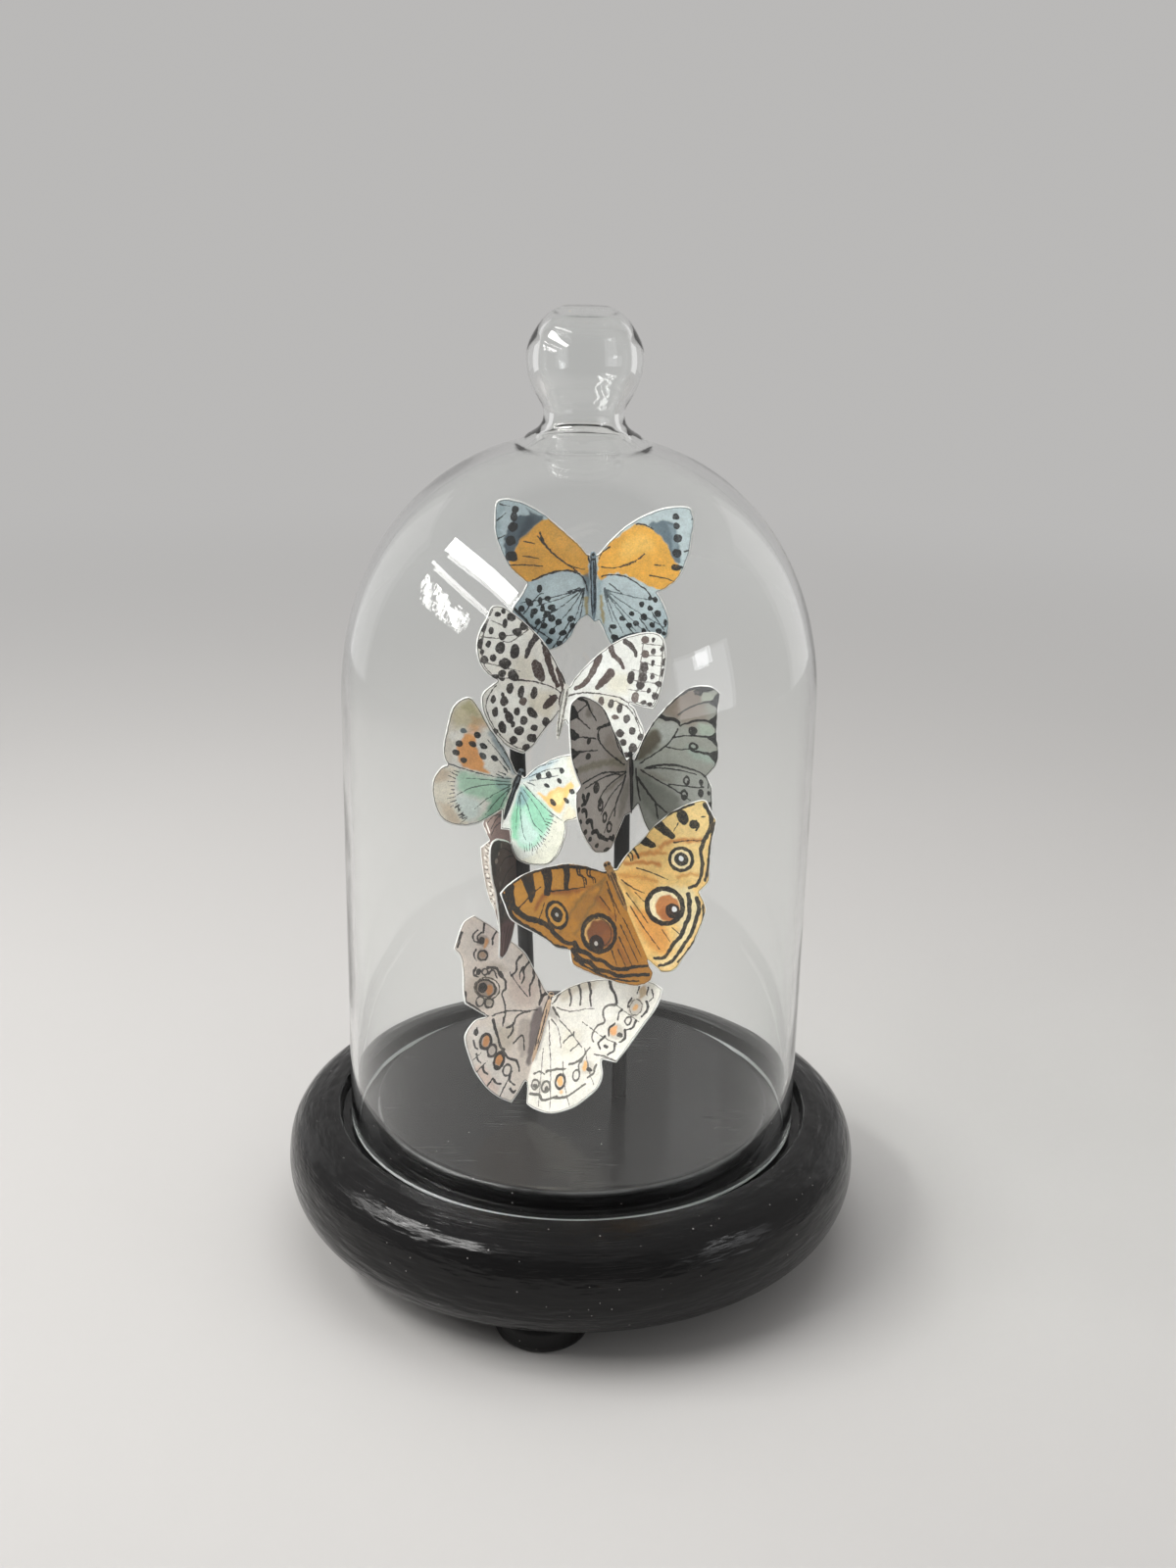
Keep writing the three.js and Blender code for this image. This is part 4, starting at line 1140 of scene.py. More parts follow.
# Butterfly 3, left: pale wings with orange patches and black dots in front, and mint green hind wings
# with a cream margin and short ticks.
paper = printed_paper("paper_mint_print", 0.4, 0.34, 0.09, 0.85, 0.06)
butterfly(
    "butterfly_mint", paper, (-15.76, 2.3, 136.82), (-21.27, 2.3, 120.28),
    (-0.062, -0.998, 0.021), (13, 36),
    [
        dict(
            outline=[
                [1.6, -0.1], [6.3, -5.4], [12.1, -9.9], [16.2, -13.9], [19, -16.3], [20.3, -16.8],
                [21.7, -16.4], [23.4, -14.4], [24.2, -11.6], [23.6, -5.5], [23, -1.3], [21.8, 1.7],
                [20.2, 3.3], [21.7, 4.6], [22.7, 8.2], [22, 11.6], [19.6, 16.4], [16.1, 19.3], [11.4, 19.5],
                [7.6, 18.1], [4.5, 15.3], [1.6, 11.8],
            ],
            ground="e2dfd8",
            washes=[
                ("cfc6b8", 2.5, 0.8, [[23, -12], [24.5, -6], [23, 1], [20, 2.6], [20, -2], [21, -8]]),
                ("bfb596", 3.0, 0.95, [[20, -17], [24, -12], [22, -8], [17, -9], [14, -12]]),
                ("a19b70", 1.6, 0.6, [[20, -16.4], [22.6, -13.6], [19, -12.6], [17, -13]]),
                ("c08e5c", 1.4, 0.45, [[13, -11], [18, -12], [16.6, -8], [14, -8.6]]),
                ("e3e0da", 1.2, 0.9, [21.4, -4.8, 1.5, 1.2]),
                ("8c9ba2", 1.4, 0.85, [
                    [1, 1], [3, -2.4], [8, -7], [12, -9.8], [12, -8], [8, -4], [4, -0.4],
                ]),
                ("e09b55", 0.7, 0.95, [
                    [18.6, -6.4], [16, -6.6], [14.6, -4.6], [13, -2], [11, -0.6], [10.3, 1.4], [8, 2.5],
                    [11, 2.8], [15.5, 2.6], [17.5, 1.8], [18.4, 0.4], [19.3, -1], [19, -3.5],
                ]),
                ("e3a769", 1.8, 0.6, [[18, -9.6], [15.6, -9.4], [15.4, -6.5], [18, -6]]),
                ("e8e0d0", 0.8, 0.95, [
                    [20, 3.4], [23, 8], [22, 14], [17, 19.4], [9, 19.6], [11, 16.6], [15, 12.6], [16.8, 8],
                    [17, 4],
                ]),
                ("b99b79", 1.8, 0.55, [[22.6, 5], [22.6, 9], [19, 7.4], [19.4, 5]]),
                ("bb9d7a", 1.8, 0.5, [[19, 14.6], [15, 19], [12, 18.6], [15.4, 14.6]]),
                ("a9ceb6", 2.0, 0.95, [
                    [1.6, 3.4], [8.5, 3.8], [16.3, 4.2], [16.2, 6.5], [15.2, 9.2], [12.6, 10.4],
                    [8.4, 10.2], [5, 11], [7, 16.6], [3, 14.6], [1.6, 11],
                ]),
                ("d3e2de", 2.4, 0.75, [[8, 11], [14, 10.6], [14.6, 13.6], [11, 17.4], [7.6, 15.4]]),
                ("78a68c", 1.8, 0.85, [[1.5, 6], [5, 8], [5.6, 13], [4, 15], [1.6, 11.6]]),
                ("7f9f9c", 1.8, 0.7, [[1.4, 2], [6, 3], [5, 6], [1.6, 6.4]]),
            ],
            ink=strokes(
                "454f52",
                (0.1, [[2.2, -0.6], [6, -4.2], [10, -7.6]]), (0.1, [[3.2, 0], [7.5, -3.6], [12, -6.6]]),
                (0.1, [[3.6, 0.8], [8, -2.4]]), (0.11, [[4, 1.6], [6.4, 1.4]]),
                (0.1, [[4.4, 2.4], [6.6, 2.2]]), (0.1, [[4, 0.2], [6.4, -1.2]]),
                (0.12, [[20, 3], [13.5, 3.3], [6, 3], [2, 2.2]]),
            )
            + strokes(
                "5a7268", (0.13, [[1.6, 4], [7, 5.6], [12, 8], [15, 11]]),
                (0.13, [[1.8, 4.6], [6, 9], [9, 13.6]]), (0.1, [[2, 3.4], [9, 4.6], [15.6, 6]]),
                (0.11, [[1.8, 5.4], [4, 10], [5.6, 14.4]]), (0.16, [[1.4, 5], [2.2, 10], [2.6, 13]]),
            )
            + ticks("3a3f3d", 0.1, [[16.6, 4.6], [16.8, 8], [15.4, 11.6], [13, 14.6], [10, 17]], 15, 2.4)
            + strokes(
                "3f4442", (0.12, [[14.4, 14.6], [13.6, 13.6], [13.4, 15], [12.6, 14.2]]),
                (0.12, [[12.8, 16.6], [11.6, 16], [11.4, 17.4], [10.4, 16.4]]),
            )
            + dots("27292c", [
                [19.1, -3.3, 0.95, 0.95], [19.1, -0.6, 1.1, 0.75], [16.4, 0.9, 1, 0.7],
                [15.5, -4.2, 1.2, 0.75, -20], [15.1, -7.1, 0.95, 0.85, -20], [12.5, -4.5, 1.1, 0.7, -20],
                [8.4, -2, 1.1, 0.65, -25],
            ])
            + dots("54595a", [[11.7, -1.7, 1.2, 0.75, -25]])
            + dots("7f8c91", [[19.1, -7.2, 0.9, 0.65]]),
        ),
        dict(
            outline=[
                [1.7, 0.7], [4.5, -4], [9, -8.9], [13.5, -12.3], [17.8, -14.1], [21, -13.3], [23.2, -10.3],
                [23.8, -5.9], [24.1, -1.3], [23.6, 1.6], [22.4, 3.1], [19.9, 4.9], [21.1, 6.8], [21.5, 9.3],
                [21.4, 13.9], [20, 17.3], [17.9, 19.4], [13.2, 21.6], [9.6, 22.3], [7.9, 21.9], [5.7, 20.4],
                [4.2, 18], [3, 16.2],
            ],
            ground="cfd2cc",
            washes=[
                ("d6cdb4", 2.5, 0.8, [[13, -11], [17, -13], [22, -11], [23, -6], [19, -6], [15, -9]]),
                ("a9bcc6", 2.0, 0.8, [[1.4, 1.5], [4.5, -3.6], [9, -8.6], [10.5, -9], [8, -5], [4, 0]]),
                ("eab35e", 0.8, 0.9, [
                    [17.2, -6.2], [18.4, -5.2], [17.6, -2.6], [17.6, 0], [17, 3.6], [15, 4.1], [12.7, 3.6],
                    [7.7, 2.2], [10.7, 1.6], [11.2, 0.4], [12.4, -1.2], [13.8, -2.6], [16, -4],
                ]),
                ("eedca2", 1.6, 0.6, [[13, -1], [16, -2], [16.4, 1.4], [13, 2]]),
                ("d9cdae", 2.0, 0.7, [[18.6, 0], [23, 1], [20.6, 4.4], [18.4, 4]]),
                ("d2d1c2", 0.8, 0.9, [
                    [15.6, 5], [20, 5], [21.4, 12], [19, 19], [10, 22.6], [14, 17.6], [15.8, 11],
                ]),
                ("9dceb6", 1.8, 0.95, [
                    [2, 2.6], [1.8, 8], [3.4, 14], [6.6, 18], [10.4, 18.6], [13.4, 15.4], [15, 11],
                    [14.8, 6], [8.7, 3.8],
                ]),
                ("86c0a2", 1.8, 0.7, [
                    [3, 2.6], [8.7, 3.8], [14.8, 5.2], [14.8, 9.8], [12, 11.4], [8.6, 9.4], [5.6, 6],
                ]),
                ("7fc49d", 1.6, 0.9, [[1.8, 11.4], [2.6, 8], [4, 9.4], [6.4, 17], [4.6, 17.6], [3, 15]]),
                ("bdd2cc", 2.4, 0.8, [[5, 9], [9.6, 11], [13, 12.4], [11, 17], [7, 17]]),
                ("7f9ea6", 1.8, 0.8, [[1.2, 3], [4, 3.6], [5.6, 6.4], [3, 8.4], [1.6, 7]]),
            ],
            ink=strokes(
                "5c676b",
                (0.09, [[2.4, -0.4], [6, -5], [10.6, -8.8]]),
                (0.09, [[3.2, -0.2], [7.4, -4.4], [12, -7.4]]), (0.09, [[4, 0.4], [9, -3], [12.6, -5.6]]),
                (0.09, [[3, 1.2], [6.6, 0.6]]), (0.13, [[2.4, 2.2], [8.7, 3.9], [13.7, 5], [18.7, 5.1]]),
            )
            + strokes(
                "5b7a75", (0.14, [[2.4, 4.6], [6, 7], [10, 10.4], [14, 11.2]]),
                (0.14, [[2.3, 5], [4.6, 10], [7.6, 14.4], [9.6, 16]]),
                (0.11, [[3, 3.6], [8, 5.4], [13, 8]]), (0.1, [[2.2, 6], [3.6, 11], [5, 15]]),
            )
            + ticks("43463f", 0.09, [[10.6, 19], [14, 16.4], [15.6, 13], [16, 9], [15.4, 5.4]], 17, 2.6)
            + ticks("7d8078", 0.08, [[13.4, 18.6], [16.4, 15.4], [17.4, 11], [17, 6.4]], 8, 1.3)
            + dots("2c2e31", [
                [6.3, -2.2, 0.85, 0.85], [9.3, -4, 0.95, 0.85], [9.9, -1.1, 0.95, 0.55],
                [12.8, -7.1, 0.8, 0.8], [13.2, -4.2, 0.9, 0.65], [18.4, -3.6, 0.9, 0.75],
                [17.7, -0.5, 1, 0.7], [13.7, 2.1, 1.2, 0.75, 20],
            ]),
        ),
    ],
    body=(
        1.25, -1.3, 14.6, "5a6166",
        strokes(
            "1c1e22", (0.42, [[-0.85, 1.2], [-0.95, 5], [-0.5, 10], [-0.1, 15]]),
            (0.3, [[0.5, 1], [0.7, 4.4], [0.75, 8]]), (0.2, [[0.05, 3], [0.1, 8], [0, 14]]),
            (0.13, [[1.2, 2.4], [1.1, 8], [0.4, 15]]),
        )
        + dots("1c1e22", [[-0.5, -0.4, 0.35, 0.35], [0.5, -0.4, 0.35, 0.35], [0, 0.7, 0.9, 0.25]]),
    ),
    bow=(0.5, 0.3), seed=37,
)

# Butterfly 4, right: grey wings, taupe on the left half and grey-green on the right, which is painted sheen
# and shade, with a black costal edge, black lobes between the veins at the tips, and small rings and
# chevrons on the hind wings. Its left half is folded far forward.
paper = printed_paper("paper_grey_print", 0.34, 0.26, 0.08, 0.9, 0.12)
butterfly(
    "butterfly_grey", paper, (14.14, -5.6, 144.77), (14.83, -5.6, 128.74), (-0.011, -1, 0),
    (50, 18),
    [
        dict(
            outline=[
                [1.7, 0.7], [4.4, -5], [7.3, -9.8], [9.4, -13.8], [12.1, -17.4], [15.9, -19.9],
                [19.7, -21.4], [22.8, -20.7], [24, -19.1], [24.3, -13.6], [24.2, -6.1], [22.5, -0.9],
                [20.8, 2.8], [22.7, 4.8], [22.9, 9.1], [21.5, 14.4], [18.9, 19.1], [15.8, 22.8],
                [11.8, 24.2], [9, 23.7], [6, 20], [2.9, 16.1],
            ],
            # Painted sheen and shade: the taupe of this half against the grey-green of the right half.
            ground="a39b95",
            washes=[
                ("aea6a0", 3.0, 0.7, [[14, -17], [22, -17], [22, -8], [15, -8]]),
                ("84796d", 2.5, 0.6, [[2, 1], [8, -8], [11, -6], [8, 2], [3, 5]]),
                ("6f6a54", 1.2, 0.7, [
                    [0.55, 0, 0.6], [22, -1.5, 0], [17, -1.8, 0], [12, -1.4, 0], [7, 0.2, 0], [3, 1.8, 0],
                ]),
                ("b1a9a3", 3.0, 0.7, [[11, 4], [21, 6], [19, 16], [12, 20], [9, 12]]),
                ("5f5a49", 1.3, 0.6, [[0.5, 0, 0.5], [3, 4.4, 0], [7, 6, 0], [12, 7.2, 0]]),
                ("69655a", 1.5, 0.6, [[1, 6], [4, 8], [5.6, 16], [2.6, 14], [1, 10]]),
                ("56503f", 1.2, 0.55, [16.4, -16.2, 1.2, 1.3]),
            ],
            ink=strokes(
                "171617",
                (0.42, [[10.5, -15.6], [7.2, -10], [4.3, -4.6], [1.6, 0.6]]),
                (0.45, [[13.6, -11.2], [8, -11.2]][::-1]),
                (0.3, [[20.8, -21], [17.6, -19.4], [16.2, -17]]),
            )
            + strokes(
                "221f1e",
                (0.16, [
                    [8.4, -11.3], [11.4, -11.4], [13.4, -10], [13.2, -8], [11.6, -5.8], [8.6, -2.8],
                    [5.2, -0.2], [2.6, 1.8],
                ]),
                (0.11, [[13.4, -9.8], [12.8, -8]]),
            )
            + strokes(
                "2b2827", (0.1, [[6.6, -8], [5.2, -4], [2.6, -0.6]]),
                (0.12, [[21.2, -16], [19.6, -14.6], [16.6, -11.8]]),
                (0.12, [[21, -10.6], [17, -9.4], [14.2, -8.4]]),
                (0.12, [[21, -6.5], [17, -5.8], [13.6, -5]]),
                (0.12, [[20, 2.4], [16, 1.8], [11, 1.7], [6, 3], [2, 3.8]]),
                (0.1, [[19, 4], [14, 3.1], [8, 3.1], [4, 4.2]]), (0.1, [[17, -18], [14, -13.4]]),
                (0.1, [[21.6, -17], [17, -18.6]]),
            )
            + strokes(
                "2b2827", (0.14, [[2, 4], [7, 5], [11, 6.4], [13.4, 8.4]]),
                (0.3, [[2.4, 5], [4.4, 8.4], [6.6, 11.6], [7.2, 15]]), (0.1, [[4, 6.4], [9, 9], [13, 13]]),
                (0.1, [[6.6, 11.8], [9.4, 15], [11.6, 18.6]]),
            )
            + [("area", "151415", v) for v in (
                [[24, -19.6], [22.7, -19], [21.6, -17.4], [21, -16.2], [22.6, -16], [24.2, -16]],
                [[24.2, -13.4], [22.6, -12.3], [21, -10.7], [22.6, -10.4], [23.8, -11]],
                [[24.3, -8.2], [22.6, -6.8], [21, -6.4], [22.8, -5.8], [24.2, -5.4]],
                [[24, -3.2], [22.6, -2.2], [22, -1.3], [22.9, -1.5]])]
            + strokes(
                "171617", (0.6, [[18, 6], [19, 7.8], [20.5, 8.2]]), (0.55, [[20, 5.8], [19.6, 7.4]]),
                (0.55, [[20.3, 9.7], [19.1, 10.2], [18.9, 12]]),
                (0.65, [[18.6, 13.4], [17.1, 13.6], [16.6, 15.6]]),
                (0.6, [[16.6, 17], [14.8, 17.2], [13.8, 19.4]]),
                (0.65, [[13.4, 19], [12.2, 19.9], [10.4, 21]]), (0.5, [[9.4, 20.6], [8.4, 21.6]]),
            )
            + dots("1d1b1b", [
                [22, 9.2, 0.6, 0.7], [21.4, 12.6, 0.6, 0.6], [19.6, 16, 0.7, 0.65], [17.7, 18.6, 0.7, 0.6],
                [15, 21.2, 0.75, 0.55], [11, 23.5, 1.2, 0.5], [8, 21, 0.5, 0.9],
            ])
            + dots("3b3531", [[17.1, -8.5, 0.75, 0.75], [17.4, -4.4, 0.95, 0.8]])
            + [
                ("ring", "332e2b", [14.6, 5, 1, 1.2, 0.22]),
                ("ring", "332e2b", [13.1, 10.2, 0.9, 1.5, 0.22]),
                ("ring", "332e2b", [11.4, 14.2, 0.8, 1.2, 0.24]),
                ("ring", "332e2b", [9.5, 17.6, 0.9, 1.3, 0.22]), ("dot", "3b3531", [14.6, 5, 0.5, 0.6]),
                ("dot", "3b3531", [13.2, 10, 0.4, 0.7]),
            ],
        ),
        dict(
            outline=[
                [1.1, 1], [4.3, -6.4], [8.2, -12.2], [12, -16.5], [15.9, -19.8], [19.6, -21.1], [22.8, -21],
                [25.2, -19.3], [24.7, -15.3], [24.2, -9.5], [24.7, -3.1], [24, 0.6], [21.4, 3.8],
                [22.8, 6.5], [23, 9.1], [23, 13.9], [21.6, 18.8], [18.9, 22.8], [15.3, 25.4], [11.6, 26.4],
                [8, 24.7], [4.4, 19.9], [2, 13.6],
            ],
            # Painted sheen and shade: the grey-green of this half against the taupe of the left half.
            ground="8d8f87",
            washes=[
                ("766a5f", 4.0, 0.95, [[9, -14], [14, -19], [21, -21], [20, -14], [15, -11], [10, -12]]),
                ("8b7f75", 3.0, 0.7, [[14, -17], [20, -16], [22, -12], [17, -10], [13, -13]]),
                ("a3a5a1", 3.0, 0.8, [[8, -10], [13, -10], [13, -6], [10, -4], [8, -6]]),
                ("4a4436", 1.4, 0.95, [
                    [1.6, 0.6], [3.4, -4], [5.4, -7.2], [7.4, -8], [9, -5.6], [7, -2.4], [3.4, 1],
                ]),
                ("94a59b", 2.0, 0.7, [[16, -4.6], [22, -2.6], [24, 0], [19, -0.6], [16.6, -2.4]]),
                ("9fae9f", 1.6, 0.6, [[19, -11], [23.4, -10], [23.6, -7.4], [20, -7.4]]),
                ("9aa093", 1.0, 0.9, [21.6, -18, 1.8, 1.5]),
                ("6e7068", 2.0, 0.85, [[2, 4], [8, 7], [14, 11], [9, 18], [4, 14], [2, 9]]),
                ("9a9c96", 2.5, 0.8, [[13, 2.4], [21, 4], [22.6, 10], [20, 17], [15, 13], [13, 7]]),
                ("70685f", 1.5, 0.5, [[2.4, 3], [7, 4], [12, 6.4], [8, 6], [3, 5]]),
            ],
            ink=strokes(
                "161516",
                (0.45, [
                    [1.4, 0.6], [3.2, -4], [5.4, -8.2], [8, -12], [11, -15.4], [14.4, -18.4], [17.4, -20.1],
                    [20.4, -20.9],
                ]),
                (0.55, [[8.4, -12.2], [10.2, -11.3], [12.4, -11.3], [13.8, -10.6]]),
            )
            + strokes(
                "2a2827", (0.14, [[13.4, -10.8], [14.2, -9.6]]),
                (0.13, [[13.5, -8.7], [12.2, -6.2], [10.2, -3.8], [6.7, -1], [2.7, 1.8]]),
                (0.09, [[12.6, -6.3], [16.2, -7.1], [19.7, -7]]),
                (0.08, [[10.4, -3.4], [14, -3], [17, -3.6]]),
                (0.12, [[13.7, -12.7], [16.7, -14.9], [20.7, -16.6]]), (0.1, [[18, -19.4], [19.6, -18.4]]),
                (0.4, [[19, -20.4], [18.4, -18.8]]),
            )
            + strokes(
                "1c1b1c", (0.24, [[24.4, -11], [22.4, -11.6], [19, -11.5], [15.6, -10.4], [14.2, -9.6]]),
                (0.2, [[24.4, -7], [21, -7.2], [17, -7.1]]),
                (0.26, [[24.2, -0.8], [22.8, -2.4], [20, -2.7], [17.6, -3], [16.8, -4]]),
                (0.24, [[24.6, -16.4], [22.6, -16.8], [20.4, -16.6]]),
            )
            + strokes(
                "2a2827",
                (0.18, [[4.7, 2.8], [8.7, 1.7], [12.7, 1.5], [16.7, 2], [19.7, 2.9], [21.6, 4.6], [22, 7]]),
                (0.11, [[4, 3.2], [9, 2.6], [14, 2.7], [18.6, 3.6]]),
                (0.28, [[2, 5.8], [4.6, 9.4], [7.2, 12.6], [10.2, 15.1]]), (0.15, [[7, 12.4], [7.6, 17]]),
                (0.12, [[3, 3.6], [7.6, 6], [12.2, 8.1], [16.8, 11]]),
                (0.1, [[11, 6.8], [18, 7.2], [20.6, 7]]), (0.16, [[1.6, 3.4], [2, 8], [2.6, 12.4]]),
            )
            + [("area", "141314", v) for v in (
                [[25.2, -19.4], [24, -18.6], [23.4, -17.2], [22.5, -16.6], [24, -16], [24.9, -15]],
                [[24.5, -13.6], [23.6, -12.4], [22.2, -11.5], [23.4, -10.8], [24.3, -9.4]],
                [[24.4, -8.6], [23.4, -7.6], [22, -7], [23.4, -6.3], [24.4, -5]],
                [[24.8, -3.4], [23.4, -2.9], [22.4, -2.4], [23.5, -1.2], [24.4, 0.2], [24.7, -1]],
                [[19.4, -21], [21, -21], [23.6, -20.7], [22.4, -20], [20.4, -19.8], [19.8, -18.8]])]
            + dots("2d2b2a", [
                [17.7, -8.5, 0.4, 0.5], [19.9, 5.7, 0.45, 0.75], [19.8, 8.7, 0.7, 1.05],
                [22, 8.5, 0.35, 0.6], [20.2, 6.8, 0.3, 0.2], [22.4, 11.6, 0.5, 0.6], [19.6, 12, 0.7, 0.9],
                [21.8, 14.6, 0.5, 0.6], [17.8, 15.4, 0.8, 0.9], [15, 18.6, 0.8, 0.8],
            ])
            + [
                ("ring", "2d2b2a", [17.7, -8.6, 0.95, 0.85, 0.2]),
                ("ring", "2d2b2a", [17.9, -4.3, 1, 0.8, 0.2]),
                ("ring", "35322f", [15.9, 5.5, 0.75, 1.1, 0.16]),
                ("ring", "2d2b2a", [15.2, 9.5, 0.8, 1.3, 0.2]), ("dot", "35322f", [16.2, 5.9, 0.3, 0.5]),
                ("dot", "2d2b2a", [15.3, 10, 0.35, 0.5]),
            ],
        ),
    ],
    body=(
        1.0, -1.5, 16.4, "3a3532",
        strokes(
            "121113", (0.3, [[-0.75, 1], [-0.75, 8], [-0.3, 15]]), (0.28, [[0.7, 1], [0.75, 8], [0.3, 15]]),
            (0.1, [[-0.1, 3], [-0.1, 8], [0, 14]]),
        )
        + dots("121113", [[0, -0.6, 0.8, 0.6]]),
    ),
    bow=(0.4, 0.5), seed=41,
)
